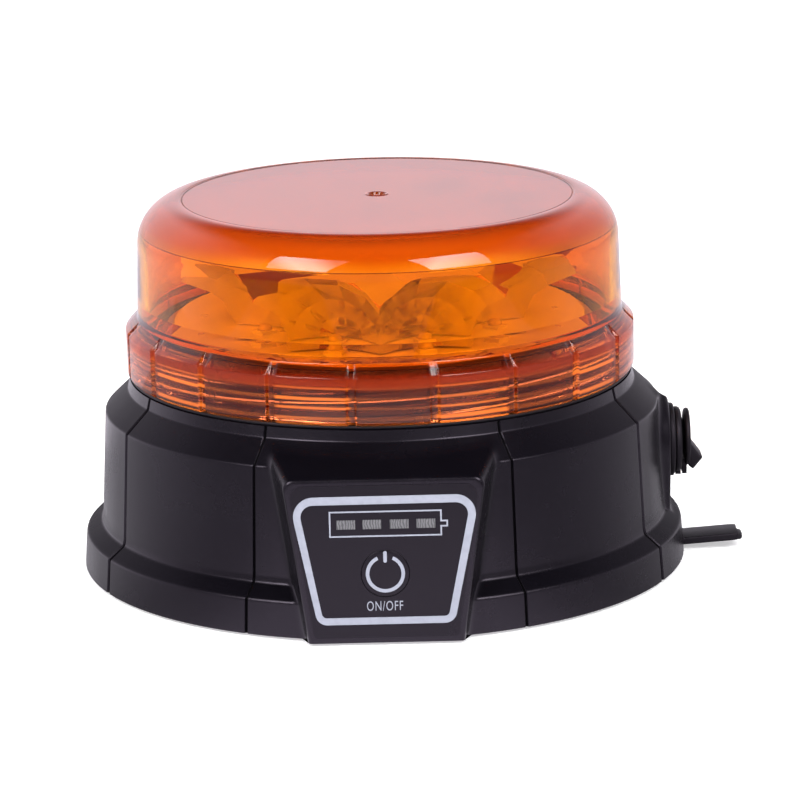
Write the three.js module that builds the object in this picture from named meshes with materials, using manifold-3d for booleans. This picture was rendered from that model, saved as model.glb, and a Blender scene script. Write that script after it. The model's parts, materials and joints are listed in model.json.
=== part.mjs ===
// Rechargeable magnetic LED warning beacon.
// Millimetres, +Z up. Origin: centre of the circle the light stands on. The control panel faces -Y
// and the charging socket faces +X. A screw-on amber dome covers a ring of ten reflector cells over
// a round LED board; the black housing below holds the battery, the control board and three
// rubber-booted pot magnets.
import * as THREE from 'three';
import { mergeVertices } from 'three/addons/utils/BufferGeometryUtils.js';
import Module from 'manifold-3d';

const wasm = await Module();
wasm.setup();

// ---------------------------------------------------------------- driving dimensions
const DEG = Math.PI / 180;
const FACETS = 40; // round the big turned parts

// Housing
const BASE_R = 80; // skirt radius where the light stands
const SKIRT_Z = 0.6; // lower edge of the skirt
const LIP_R = 66.3, LIP_Z = 50.8; // small upright lip under the dome's collar
const NECK_R = 62.3, NECK_BORE_R = 60, NECK_TOP = 63;
const CAVITY_TOP = 57.4;

// Dome and its thread
const COLLAR_R = 67, COLLAR_IN_R = 64.3, COLLAR_Z = 51.8;
const GRIPS = 20, GRIP_PHASE = -6.5; // finger grooves round the collar, degrees from -Y
const STARTS = 3, THREAD_STEP = 4.2, THREAD_H = 1.2, THREAD_Z = 53.9;
const THREAD_SPAN = 210; // degrees
const THREAD_TAPER = 8; // degrees over which a thread's ends fade
const THREAD_LEAD = STARTS * THREAD_STEP; // rise of the dome in one full turn

// Light engine
const CELLS = 10, CELL_PITCH = 360 / CELLS; // pitch in degrees
const CELL_PLANE = 50.8; // from the axis to the flat mouth of a cell
const CELL_VERTEX = 30.8, CELL_FOCAL = 5.78; // parabola's vertex and focal length
const BOARD_TOP = 65.6, REFLECTOR_Z = 65.9, REFLECTOR_TOP = 85;

// Control panel
const PANEL_Y = -81.8, FILM_BACK_Y = -81.4, PANEL_WALL_Y = -79.2; // wall: its inner face
const BUTTON_R = 5.75, BUTTON_Z = 18.4, BUTTON_GAP = 0.35;
const WINDOW_XS = [-9.45, -3.05, 3.65, 10.2], WINDOW_Z = 31; // battery gauge
const BOARD_FRONT_Y = -73.6;

// Charging socket
const SOCKET_Z = 29.3, BOSS_X = 76, LID_Z = 30;

// Underside
const MAGNET_R = 42, MAGNET_AZIMUTHS = [90, 210, 330];
const SCREW_R = 67, SCREW_AZIMUTHS = [45, 135, 225, 315];
const TAB_W = 9.6, TAB_ROOT_X = 78.8, TAB_TILT = 3.8; // tilt in degrees

// Battery
const BATTERY_XS = [-18.9, 0, 18.9], BATTERY_Z = 25.2;

// ---------------------------------------------------------------- finishes
const finish = (settings) => new THREE.MeshStandardMaterial(settings);
const FINISH = {
  amber: finish({ color: 0xf06a0a, roughness: 0.08, transparent: true, opacity: 0.6 }),
  shell: finish({ color: 0x26242a, roughness: 0.5 }),
  rubber: finish({ color: 0x1b1a1d, roughness: 0.8 }),
  film: finish({ color: 0x222024, roughness: 0.35 }),
  mirror: finish({ color: 0xd8d8dc, roughness: 0.12, metalness: 1 }),
  white: finish({ color: 0xe6e6e2, roughness: 0.5 }),
  green: finish({ color: 0x1f5a3a, roughness: 0.5 }),
  steel: finish({ color: 0xb9bcc2, roughness: 0.35, metalness: 1 }),
  aluminium: finish({ color: 0xa9acb0, roughness: 0.4, metalness: 1 }),
  magnet: finish({ color: 0x8b8d92, roughness: 0.3, metalness: 1 }),
  battery: finish({ color: 0x2f6fb0, roughness: 0.4 }),
  led: finish({ color: 0xf2d46a, roughness: 0.3 }),
  clear: finish({ color: 0xdfe3e6, roughness: 0.2 }),
  brass: finish({ color: 0xc9a24a, roughness: 0.3, metalness: 1 }),
  red: finish({ color: 0xb02020, roughness: 0.5 }),
  nylon: finish({ color: 0x3a3a3e, roughness: 0.6 }),
};

// ---------------------------------------------------------------- solids and meshes
// A closed geometry as a solid, turned right side out; a solid passes through.
function solid(shape) {
  if (!shape.isBufferGeometry) return shape;
  const bare = new THREE.BufferGeometry()
    .setAttribute('position', shape.getAttribute('position'))
    .setIndex(shape.getIndex());
  const merged = mergeVertices(bare, 1e-3);
  const index = merged.index.array;
  const triangles = [];
  for (let i = 0; i < index.length; i += 3) {
    const [a, b, c] = [index[i], index[i + 1], index[i + 2]];
    if (a !== b && b !== c && a !== c) triangles.push(a, b, c);
  }
  const build = () => new wasm.Manifold(new wasm.Mesh({
    numProp: 3,
    vertProperties: new Float32Array(merged.attributes.position.array),
    triVerts: new Uint32Array(triangles),
  }));
  const built = build();
  if (built.volume() >= 0) return built;
  for (let i = 0; i < triangles.length; i += 3) {
    [triangles[i + 1], triangles[i + 2]] = [triangles[i + 2], triangles[i + 1]];
  }
  return build();
}

function geometryOf(body) {
  const mesh = body.getMesh();
  const positions = new Float32Array(mesh.vertProperties);
  const geometry = new THREE.BufferGeometry();
  geometry.setAttribute('position', new THREE.BufferAttribute(positions, 3));
  geometry.setIndex(new THREE.BufferAttribute(new Uint32Array(mesh.triVerts), 1));
  geometry.computeVertexNormals();
  return geometry;
}

const union = (...shapes) => shapes.map(solid).reduce((sum, next) => sum.add(next));
const cut = (...shapes) => shapes.map(solid).reduce((rest, tool) => rest.subtract(tool));

const root = new THREE.Group();
function part(name, shape, material, parent = root) {
  const mesh = new THREE.Mesh(shape.isBufferGeometry ? shape : geometryOf(shape), material);
  mesh.name = name;
  parent.add(mesh);
  return mesh;
}

// ---------------------------------------------------------------- shapes
const repeat = (count, make) => Array.from({ length: count }, (_, i) => make(i));

// A turned solid about Z from a list of [radius, height]. A profile off the axis is closed.
function turned(profile, facets = 24) {
  const offAxis = profile[0][0] > 1e-6 && profile.at(-1)[0] > 1e-6;
  const closed = offAxis ? [...profile, profile[0]] : profile;
  const points = closed.map(([r, z]) => new THREE.Vector2(r, z));
  return new THREE.LatheGeometry(points, facets).rotateX(Math.PI / 2);
}
const rod = (r, z0, z1, facets) => turned([[0, z0], [r, z0], [r, z1], [0, z1]], facets);
const ring = (inner, outer, z0, z1, facets) =>
  turned([[inner, z0], [outer, z0], [outer, z1], [inner, z1]], facets);
const box = (x0, x1, y0, y1, z0, z1) => new THREE.BoxGeometry(x1 - x0, y1 - y0, z1 - z0)
  .translate((x0 + x1) / 2, (y0 + y1) / 2, (z0 + z1) / 2);

// A shape made along Z is laid along +X or -Y: height h ends up at X = h or Y = -h.
const alongX = (geometry, z = SOCKET_Z) => geometry.rotateY(Math.PI / 2).translate(0, 0, z);
const alongMinusY = (geometry, x, z) => geometry.rotateX(Math.PI / 2).translate(x, 0, z);
const aboutZ = (geometry, degrees) => geometry.rotateZ(degrees * DEG);

const polar = (r, degrees) => [r * Math.cos(degrees * DEG), r * Math.sin(degrees * DEG)];
const atScrews = (make) =>
  SCREW_AZIMUTHS.map((azimuth) => make().translate(...polar(SCREW_R, azimuth), 0));
const atMagnets = (make) =>
  MAGNET_AZIMUTHS.map((azimuth) => make().translate(...polar(MAGNET_R, azimuth), 0));

// Closed polygons pushed along the axis that their plane leaves out.
function extruded(points, depth) {
  const shape = new THREE.Shape(points.map(([u, v]) => new THREE.Vector2(u, v)));
  return new THREE.ExtrudeGeometry(shape, { depth, bevelEnabled: false });
}
const plateXY = (points, z0, z1) => extruded(points, z1 - z0).translate(0, 0, z0);
const plateXZ = (points, y0, y1) =>
  extruded(points, y1 - y0).rotateX(Math.PI / 2).translate(0, y1, 0);
function plateYZ(points, x0, x1) {
  const [xAxis, yAxis, zAxis] = [[1, 0, 0], [0, 1, 0], [0, 0, 1]].map((v) => new THREE.Vector3(...v));
  const turn = new THREE.Matrix4().makeBasis(yAxis, zAxis, xAxis);
  return extruded(points, x1 - x0).applyMatrix4(turn).translate(x0, 0, 0);
}

// Polygon with each corner rounded by its own radius, as a quadratic curve; 0 keeps it sharp.
function rounded(points, radii, steps = 3) {
  return points.flatMap((corner, i) => {
    if (!radii[i]) return [corner];
    const toward = ([x, y]) => new THREE.Vector2(x - corner[0], y - corner[1]).normalize();
    const before = toward(points[(i + points.length - 1) % points.length]);
    const after = toward(points[(i + 1) % points.length]);
    const halfAngle = Math.acos(THREE.MathUtils.clamp(before.dot(after), -1, 1)) / 2;
    const setback = radii[i] / Math.tan(halfAngle);
    const start = [corner[0] + before.x * setback, corner[1] + before.y * setback];
    const end = [corner[0] + after.x * setback, corner[1] + after.y * setback];
    return repeat(steps + 1, (k) => {
      const t = k / steps;
      return [0, 1].map((axis) =>
        (1 - t) ** 2 * start[axis] + 2 * t * (1 - t) * corner[axis] + t * t * end[axis]);
    });
  });
}

// A solid between two 2D outlines of equal count. place(u, v, depth) gives the 3D point.
function loft(front, frontDepth, back, backDepth, place) {
  const near = front.map(([u, v]) => place(u, v, frontDepth));
  const far = back.map(([u, v]) => place(u, v, backDepth));
  const flat = front.map(([u, v]) => new THREE.Vector2(u, v));
  const corners = [];
  for (const [a, b, c] of THREE.ShapeUtils.triangulateShape(flat, [])) {
    corners.push(near[a], near[b], near[c], far[a], far[c], far[b]);
  }
  near.forEach((_, i) => {
    const j = (i + 1) % near.length;
    corners.push(near[i], far[i], far[j], near[i], far[j], near[j]);
  });
  const positions = new Float32Array(corners.flat());
  return new THREE.BufferGeometry()
    .setAttribute('position', new THREE.BufferAttribute(positions, 3));
}

// Points on an ellipse arc, angles in degrees.
const arc = ({ centre, radii, from, to, steps }) => repeat(steps + 1, (i) => {
  const angle = (from + ((to - from) * i) / steps) * DEG;
  return [centre[0] + radii[0] * Math.cos(angle), centre[1] + radii[1] * Math.sin(angle)];
});

// Helical ridges, one per thread start: each a box whose long side is wound round Z.
const threads = (rootR, crestR, z0, span) => repeat(STARTS, (start) => {
  const geometry = new THREE.BoxGeometry(1, 1, 1, Math.round(span / 12), 1, 1);
  const position = geometry.attributes.position;
  for (let i = 0; i < position.count; i++) {
    const along = position.getX(i) + 0.5;
    const across = position.getY(i);
    const out = position.getZ(i) + 0.5;
    const ends = Math.min(1, Math.min(along, 1 - along) * span / THREAD_TAPER);
    const r = rootR + out * (crestR - rootR) * (0.25 + 0.75 * ends);
    // The ridge is narrower at its crest.
    const height = THREAD_H * (out > 0.5 ? 0.7 : 1);
    const [x, y] = polar(r, (start * 360) / STARTS + along * span);
    position.setXYZ(i, x, y, z0 + (THREAD_LEAD * along * span) / 360 + across * height);
  }
  return geometry;
});

// Upright tapered outline [x, z] with one radius for the lower corners and one for the upper.
function panelOutline({ bottom, top, radii: [low, high], steps }) {
  const [[bottomHalf, z0], [topHalf, z1]] = [bottom, top];
  const corners = [[-bottomHalf, z0], [bottomHalf, z0], [topHalf, z1], [-topHalf, z1]];
  return rounded(corners, [low, low, high, high], steps);
}

// ---------------------------------------------------------------- housing
// [radius, height], upwards. The first WALL_POINTS rows run from the skirt to the lip's foot.
const WALL_POINTS = 8;
const SHELL_OUTSIDE = [
  [BASE_R, SKIRT_Z], [79.2, 9.3], [78.2, 11.5], [75.4, 12.8], [74.8, 13.8], [73.2, 41.6],
  [71.8, 43.5], [LIP_R, 47.9], [LIP_R, LIP_Z], [NECK_R, LIP_Z], [NECK_R, NECK_TOP],
];
// [radius, height], upwards.
const SKIRT_IN_R = 77.2;
const CAVITY = [
  [SKIRT_IN_R, 6], [74, 6], [74, 10.8], [72.1, 14], [70.2, 40.8], [59.4, 48], [59.4, CAVITY_TOP],
];
// Down the neck, across the deck with its central hole, and down the cavity.
const SHELL_INSIDE = [
  [NECK_BORE_R, NECK_TOP], [NECK_BORE_R, 59.8], [6, 59.8], [6, CAVITY_TOP],
  ...[...CAVITY].reverse(), [SKIRT_IN_R, SKIRT_Z],
];

// The control panel stands out of the round body as a flat-faced, tapered block.
function panelBlock() {
  const radii = [1.2, 3.2];
  const front = panelOutline({ bottom: [19.2, SKIRT_Z], top: [24.9, 42.3], radii });
  const back = panelOutline({ bottom: [22.2, SKIRT_Z], top: [28.4, 45.6], radii });
  return loft(front, PANEL_Y, back, -66.5, (x, z, y) => [x, y, z]);
}

// The socket boss: arched top, flat outer face, flared sides.
function socketBoss() {
  const outline = (halfWidth, rise) => [
    [-halfWidth * 0.74, 11.4], [halfWidth * 0.74, 11.4],
    ...arc({ centre: [0, SOCKET_Z], radii: [halfWidth, rise], from: -10, to: 190, steps: 8 }),
  ];
  return loft(outline(11, 11), BOSS_X, outline(24, 11.6), 67.5, (y, z, x) => [x, y, z]);
}

// Screw posts, kept within the wall.
function screwPosts() {
  const limit = solid(turned(
    [[0, 4.9], [74.5, 4.9], [74.5, 10.8], [72.4, 14], [71.6, 30], [0, 30]], FACETS));
  return atScrews(() => rod(4.6, 4.9, 30, 12)).map((post) => solid(post).intersect(limit));
}

// Four blades that cut mould seams down the outside, spread either side of -Y and +Y.
function seamBlades(spread, width, depth) {
  const wall = (offset) => SHELL_OUTSIDE.slice(0, WALL_POINTS)
    .map(([r, z], i) => [r + offset, i === 0 ? -1 : z]);
  const outline = [...wall(1.2), ...wall(-depth).reverse()];
  return [-90 - spread, -90 + spread, 90 - spread, 90 + spread]
    .map((degrees) => aboutZ(plateXZ(outline, -width / 2, width / 2), degrees));
}

function housingShell() {
  const body = union(
    turned([...SHELL_OUTSIDE, ...SHELL_INSIDE], FACETS), panelBlock(), socketBoss());
  // The blocks reach inwards past the wall, so the inside is cleared again.
  const cavity = turned([[0, -1], [SKIRT_IN_R, -1], ...CAVITY, [0, CAVITY_TOP]], FACETS);
  const boardRoom = panelOutline({ bottom: [15.4, 5.4], top: [19.6, 38.4], radii: [2, 2], steps: 2 });
  const filmSeat = panelOutline({ bottom: [18.2, 1.7], top: [23.6, 41.1], radii: [1, 3] });
  const cored = cut(
    union(cut(body, cavity), ...screwPosts()),
    plateXZ(boardRoom, PANEL_WALL_Y, -60),
    plateXZ(filmSeat, -82.6, FILM_BACK_Y),
    alongMinusY(rod(BUTTON_R + BUTTON_GAP, 74, 84), 0, BUTTON_Z),
    box(-13.8, 13.8, -84, -74, WINDOW_Z - 2.1, WINDOW_Z + 2.1), // battery gauge slot
    alongX(rod(6.4, 60, 80)), // socket hole
    box(76.2, 82, -5.7, 5.7, -1, 5.2), // notch the lift tab passes through
    ...seamBlades(63.5, 1, 0.7),
    ...seamBlades(26, 0.5, 0.4),
    ...atScrews(() => rod(1.75, 3, 16, 10)),
  );
  return union(cored, ...threads(NECK_R - 0.8, 63.75, THREAD_Z, THREAD_SPAN));
}
part('housing_shell', housingShell(), FINISH.shell);

// ---------------------------------------------------------------- screw-on dome
// [radius, height]: up the outside to the dimpled centre, then down the inside.
const DOME_PROFILE = [
  [COLLAR_R - 0.3, COLLAR_Z], [COLLAR_R, 52.3], [COLLAR_R, 64.4], [64.6, 66.9], [63.5, 69.8],
  ...arc({ centre: [51.5, 86.4], radii: [11.5, 11.3], from: 0, to: 86, steps: 5 }),
  [51.4, 97.45], [2.6, 97.45], [1.9, 96.9], [0, 96.9],
  [0, 94.9],
  ...arc({ centre: [50.4, 86.2], radii: [10.4, 8.7], from: 88, to: 0, steps: 4 }),
  [61, 71], [61.6, 68.4], [COLLAR_IN_R, 65.4], [COLLAR_IN_R, COLLAR_Z],
];

function lensDome() {
  const grooves = repeat(GRIPS, (k) => aboutZ(
    box(COLLAR_R - 1, COLLAR_R + 2, -0.9, 0.9, 50, 66.4),
    -90 + GRIP_PHASE + (360 / GRIPS) * k,
  ));
  const grooved = cut(turned(DOME_PROFILE, FACETS), ...grooves);
  const ridges = threads(COLLAR_IN_R + 0.7, 63, THREAD_Z - 1.75, THREAD_SPAN - 20);
  // The lowest turns run out at the collar's edge.
  return cut(union(grooved, ...ridges), rod(70, 40, COLLAR_Z, 12));
}
part('lens_dome', lensDome(), FINISH.amber);
part('lens_gasket', ring(64.2, 66.1, 50.95, 51.65, FACETS), FINISH.rubber);

// ---------------------------------------------------------------- light engine
part('heat_sink', ring(6.5, 57.4, 60.1, 63.6, 32), FINISH.aluminium);
part('led_board', ring(5.2, 54, 63.9, BOARD_TOP, 32), FINISH.white);

const cellAngle = (k) => -90 + (k + 0.5) * CELL_PITCH;

// A paraboloid opening along +X, with its focus over the board's LED.
function reflectorCell() {
  const steps = 5;
  const mouth = CELL_PLANE + 3;
  const curve = repeat(steps, (i) => {
    const x = CELL_VERTEX + (mouth - CELL_VERTEX) * ((i + 1) / steps) ** 1.5;
    return [Math.sqrt(4 * CELL_FOCAL * (x - CELL_VERTEX)), x];
  });
  return alongX(turned([[0, CELL_VERTEX], ...curve, [0, mouth]], 16), REFLECTOR_Z);
}

// Ten cells aimed outwards, parted by V notches in the top.
function reflector() {
  const halfPitch = (CELL_PITCH / 2) * DEG;
  const cellHalf = CELL_PLANE * Math.tan(halfPitch);
  const crown = repeat(CELLS, (k) =>
    polar(CELL_PLANE / Math.cos(halfPitch), (k + 0.5) * CELL_PITCH));
  const notch = [
    [cellHalf - 7.4, REFLECTOR_TOP + 1], [cellHalf + 7.4, REFLECTOR_TOP + 1],
    [cellHalf + 0.001, 79.4],
  ];
  return cut(
    plateXY(crown, REFLECTOR_Z, REFLECTOR_TOP),
    rod(26, REFLECTOR_Z - 1, REFLECTOR_TOP - 2, 20),
    rod(2.4, 60, 90, 12),
    ...repeat(CELLS, (k) => [
      aboutZ(reflectorCell(), cellAngle(k)),
      aboutZ(plateYZ(notch, 27, 60), cellAngle(k)),
    ]).flat(),
  );
}
part('reflector', reflector(), FINISH.mirror);

// Square base with a faceted lens.
const ledShape = union(
  box(-2.3, 2.3, -2.3, 2.3, BOARD_TOP, BOARD_TOP + 0.9),
  turned([
    [0, BOARD_TOP + 0.5], [1.8, BOARD_TOP + 0.5], [1.5, BOARD_TOP + 1.9], [0, BOARD_TOP + 2.4],
  ], 8),
);
for (let k = 0; k < CELLS; k++) {
  const holder = new THREE.Group();
  holder.rotation.z = cellAngle(k) * DEG;
  root.add(holder);
  part(`led_${k + 1}`, ledShape, FINISH.led, holder).position.x = CELL_VERTEX + CELL_FOCAL;
}

part('reflector_standoff', cut(
  rod(4, BOARD_TOP, REFLECTOR_TOP - 2.1, 6),
  rod(2.2, 72, 90, 10),
), FINISH.brass);
part('reflector_screw', union(
  turned([
    [0, REFLECTOR_TOP], [3.6, REFLECTOR_TOP], [3.2, REFLECTOR_TOP + 1.8], [0, REFLECTOR_TOP + 2.2],
  ], 12),
  rod(1.9, 74, REFLECTOR_TOP + 0.5, 10),
), FINISH.steel);

// ---------------------------------------------------------------- control panel
// A box centred on each gauge window.
const atWindows = (halfWidth, halfHeight, y0, y1) => WINDOW_XS.map((x) =>
  box(x - halfWidth, x + halfWidth, y0, y1, WINDOW_Z - halfHeight, WINDOW_Z + halfHeight));

const filmOutline = panelOutline({ bottom: [17.9, 2], top: [23.3, 40.8], radii: [1, 3] });
part('control_film', cut(
  plateXZ(filmOutline, PANEL_Y, FILM_BACK_Y),
  alongMinusY(rod(BUTTON_R + BUTTON_GAP, 80, 83), 0, BUTTON_Z),
  ...atWindows(2.3, 1.2, -83, -80),
), FINISH.film);
part('power_button', alongMinusY(turned([
  [0, 78.1], [7, 78.1], [7, 78.9], [BUTTON_R, 78.9], [BUTTON_R, 81.8], [5.2, 82], [0, 82.05],
]), 0, BUTTON_Z), FINISH.film);
part('switch_plunger', alongMinusY(rod(1.7, 76, 78, 12), 0, BUTTON_Z), FINISH.nylon);
part('tact_switch', cut(
  box(-3, 3, -76.9, BOARD_FRONT_Y, BUTTON_Z - 3, BUTTON_Z + 3),
  alongMinusY(rod(2.05, 75, 78, 12), 0, BUTTON_Z),
), FINISH.rubber);
part('gauge_light_guide', union(
  box(-13.4, 13.4, -81.2, -79.4, WINDOW_Z - 1.7, WINDOW_Z + 1.7),
  ...atWindows(2.05, 0.95, -81.7, -81),
), FINISH.clear);
part('control_board', box(-14.4, 14.4, BOARD_FRONT_Y, -72, 6.6, 37.2), FINISH.green);
atWindows(1.5, 0.8, -74.6, BOARD_FRONT_Y)
  .forEach((led, i) => part(`gauge_led_${i + 1}`, led, FINISH.led));

// ---------------------------------------------------------------- charging socket and rubber cap
part('charge_socket', alongX(turned([
  [0, 58], [6, 58], [6, 76.1], [9.8, 76.1], [9.8, 77.5], [6.3, 77.5],
  [6.3, 79.2], [4.2, 79.2], [4.2, 66], [0, 66],
])), FINISH.rubber);
part('socket_pin', alongX(turned([
  [0, 66.2], [1, 66.2], [1, 75.4], [0.6, 75.9], [0, 75.9],
], 8)), FINISH.brass);
part('socket_nut', cut(
  alongX(rod(9.4, 66.6, 69.5, 6)),
  alongX(rod(6.35, 60, 75)),
), FINISH.steel);
// Ring round the socket with a lug below.
part('cap_retainer', union(
  alongX(turned([[6.7, 77.7], [8.7, 77.7], [8.7, 79.1], [8.4, 79.4], [6.7, 79.4]])),
  box(77.9, 79.3, -2.6, 2.6, 20.2, 21.6),
), FINISH.rubber);

const lidDisc = [
  [0, 79.6], [4.6, 79.6], [5.2, 80.3], [7.3, 80.3], [7.6, 80.6], [7.6, 81.3], [7.3, 81.6], [0, 81.6],
];
const lidPlug = [[0, 76.4], [3, 76.4], [3.35, 77.2], [3.35, 80], [0, 80]];
// Upright fin on the outside of the lid, [x, z].
const lidFin = [[81.2, 29.3], [81.7, 29.3], [85.2, 24.9], [82.5, 21.7], [81.2, 22.9]];
part('cap_lid', union(
  alongX(turned(lidDisc, 28), LID_Z),
  alongX(turned(lidPlug, 16)),
  plateXZ(lidFin, -1, 1),
  box(79.7, 80.9, -2.4, 2.4, 20.4, 24.5), // living strap down to the retainer's lug
), FINISH.rubber);

// ---------------------------------------------------------------- underside
function baseCover() {
  const plate = union(rod(76.8, 1.2, 4.6, FACETS), ...atMagnets(() => rod(20.4, 2, 10.3, 20)));
  const drilled = cut(
    plate,
    ...atMagnets(() => rod(18.3, 0, 8.1, 20)), // magnet pockets
    ...atMagnets(() => rod(2.25, 0, 12, 12)),
    ...atScrews(() => rod(3.7, 0, 3.4, 14)), // screw head recesses
    ...atScrews(() => rod(1.85, 0, 6, 10)),
    box(64.2, 80, -5.4, 5.4, 0, 3.4), // recess for the root of the lift tab
  );
  return union(drilled, rod(10, 0, 2)); // moulded centre pad, level with the feet
}
part('base_cover', baseCover(), FINISH.shell);
part('base_gasket', ring(74.4, 76.6, 4.7, 5.9, FACETS), FINISH.rubber);

// The root of the lift tab is part of the foot ring.
part('foot_ring', union(
  ring(71.5, 76.2, 0, 1.1, FACETS),
  box(64.6, 78.2, -TAB_W / 2, TAB_W / 2, 0.6, 3),
), FINISH.rubber);

// Springs from the foot ring at the rim and points slightly upwards.
function liftTab() {
  const half = TAB_W / 2;
  const strap = rounded(
    [[TAB_ROOT_X, -half], [94.6, -half], [94.6, half], [TAB_ROOT_X, half]], [0, 2.2, 3.4, 0], 4);
  const tip = rounded(
    [[93, -half], [95.8, -half], [95.8, half - 0.6], [93, half - 0.6]], [0, 0.8, 2.2, 0]);
  return geometryOf(union(plateXY(strap, 1, 3), plateXY(tip, 0.7, 1.7)))
    .translate(-TAB_ROOT_X, 0, -1)
    .rotateY(-TAB_TILT * DEG)
    .translate(TAB_ROOT_X, 0, 1.1);
}
part('lift_tab', liftTab(), FINISH.rubber);

// [radius, height] about each magnet's own axis.
const BOOT = [[0, 0], [16.9, 0], [17.8, 0.9], [17.8, 7.8], [16.7, 7.8], [16.7, 1], [0, 1]];
const POT = [[2.25, 7.5], [2.25, 5.5], [14.2, 5.5], [14.2, 1.3], [16.4, 1.3], [16.4, 7.5]];
const POT_SCREW = [[0, 5.8], [1.95, 5.8], [1.95, 10.4], [3.6, 10.4], [3.4, 12.6], [0, 12.6]];
MAGNET_AZIMUTHS.forEach((azimuth, i) => {
  const place = (name, geometry, material) => part(
    `magnet_${name}_${i + 1}`, geometry.translate(...polar(MAGNET_R, azimuth), 0), material);
  place('boot', turned(BOOT, 20), FINISH.rubber);
  place('pot', turned(POT, 20), FINISH.steel);
  place('disc', rod(13.9, 1.3, 5.2, 20), FINISH.magnet);
  place('screw', turned(POT_SCREW, 10), FINISH.steel);
});

const COVER_SCREW = [
  [0, 1.9], [1.2, 1.9], [1.2, 1.3], [3.1, 1.3], [3.2, 3.3], [1.5, 3.3], [1.5, 14], [0, 14],
];
atScrews(() => turned(COVER_SCREW, 10))
  .forEach((screw, i) => part(`cover_screw_${i + 1}`, screw, FINISH.steel));

// ---------------------------------------------------------------- battery
// Open-topped tray on three posts.
part('battery_tray', union(
  cut(box(-30.2, 30.2, -34.6, 34.6, 14.2, 24), box(-28.7, 28.7, -33.1, 33.1, 15.7, 30)),
  ...[[-28, 20], [28, 20], [0, -32]].map(([x, y]) => rod(2.6, 4.7, 15, 10).translate(x, y, 0)),
), FINISH.nylon);

// [radius, distance towards -Y]; the narrow terminal is at the -Y end.
const BATTERY_CELL = [
  [0, -32.5], [9.1, -32.5], [9.2, -31], [9.2, 31.8], [3, 31.8], [3, 32.7], [0, 32.7],
];
BATTERY_XS.forEach((x, i) => part(
  `battery_cell_${i + 1}`, alongMinusY(turned(BATTERY_CELL, 16), x, BATTERY_Z), FINISH.battery));
part('battery_clamp', cut(
  box(-31.9, 31.9, -8, 8, 18, 36),
  box(-30.5, 30.5, -9, 9, 10, 34.7),
), FINISH.nylon);

// Eight-sided wire swept through [x, y, z] points.
function wire(points, r) {
  const extrudePath = new THREE.CatmullRomCurve3(points.map((p) => new THREE.Vector3(...p)));
  const section = new THREE.Shape(repeat(8, (i) => new THREE.Vector2(...polar(r, i * 45))));
  return solid(new THREE.ExtrudeGeometry(section, { steps: 14, bevelEnabled: false, extrudePath }));
}
part('battery_lead', wire([
  [-9, -35.4, 26], [-9, -44, 30], [-7, -58, 24], [-7, -71.4, 24],
], 1.3), FINISH.red);
part('led_harness', wire([
  [7, -71.4, 34], [7, -56, 40], [4, -22, 46], [0.6, -3, 50], [0, 0, 56], [0, 0, 64.6],
], 1.6), FINISH.nylon);

export default root;
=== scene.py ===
# Rechargeable magnetic warning beacon. A round black housing carries a screwed-on amber dome with
# ten reflector cells and LEDs under it. The control panel faces -Y, the charging socket and the
# lift tab are at +X, the magnets are under the base. Z is up, along the axis of the body.
# Lengths are millimetres and angles degrees; vertices are scaled to metres when a mesh is made.
# The stage, lights, camera and shader coordinates are in metres.
# A "mesh" passed between the helpers is a pair: vertices in millimetres, and faces.
import bpy
import bmesh
import json
import math
import numpy as np
from mathutils import Matrix, Vector

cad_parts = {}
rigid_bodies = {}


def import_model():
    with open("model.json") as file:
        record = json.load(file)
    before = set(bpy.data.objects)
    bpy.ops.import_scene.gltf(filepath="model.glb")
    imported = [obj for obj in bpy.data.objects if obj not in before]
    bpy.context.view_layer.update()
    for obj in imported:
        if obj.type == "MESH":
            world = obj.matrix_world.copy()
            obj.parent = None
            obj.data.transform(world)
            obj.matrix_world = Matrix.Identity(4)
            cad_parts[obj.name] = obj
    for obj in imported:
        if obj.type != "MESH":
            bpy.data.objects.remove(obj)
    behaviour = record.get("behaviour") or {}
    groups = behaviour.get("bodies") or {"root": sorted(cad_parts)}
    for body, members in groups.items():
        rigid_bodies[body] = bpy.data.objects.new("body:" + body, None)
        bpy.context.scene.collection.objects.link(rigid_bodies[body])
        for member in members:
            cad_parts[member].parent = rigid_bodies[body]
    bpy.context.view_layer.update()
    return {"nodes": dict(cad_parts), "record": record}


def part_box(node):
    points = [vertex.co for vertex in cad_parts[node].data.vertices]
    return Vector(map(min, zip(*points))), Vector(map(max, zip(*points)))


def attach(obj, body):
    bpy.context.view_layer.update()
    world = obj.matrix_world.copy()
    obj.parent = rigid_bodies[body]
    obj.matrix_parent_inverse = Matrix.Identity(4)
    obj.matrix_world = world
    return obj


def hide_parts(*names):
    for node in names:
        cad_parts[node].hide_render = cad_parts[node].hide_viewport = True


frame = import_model()
MM = 0.001
TAU = 2 * math.pi


def box_mm(node):
    low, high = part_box(node)
    return [v * 1000 for v in low], [v * 1000 for v in high]


# ------------------------------------------------------------------ sizes read from the frame
shell_low, shell_high = box_mm("housing_shell")
PANEL_Y = shell_low[1]                  # flat face of the panel block
BASE_R = shell_high[1]                  # skirt
NECK_TOP = shell_high[2]
COLLAR_Z = box_mm("lens_dome")[0][2]    # lower edge of the dome's collar
button_low, button_high = box_mm("power_button")
BUTTON_BACK_Y = button_high[1]
BUTTON_Z = (button_low[2] + button_high[2]) / 2
socket_low, socket_high = box_mm("charge_socket")
SOCKET_Z = (socket_low[2] + socket_high[2]) / 2
reflector_low, reflector_high = box_mm("reflector")
CELL_Z, CELL_TOP = reflector_low[2], reflector_high[2]
BOARD_TOP = box_mm("led_board")[1][2]
tab_low, tab_high = box_mm("lift_tab")
TAB_HALF_WIDTH = (tab_high[1] - tab_low[1]) / 2

# the screw thread between neck and dome: three starts
THREAD_STARTS = 3
THREAD_LEAD = 12.6
THREAD_Z = 53.9


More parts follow.
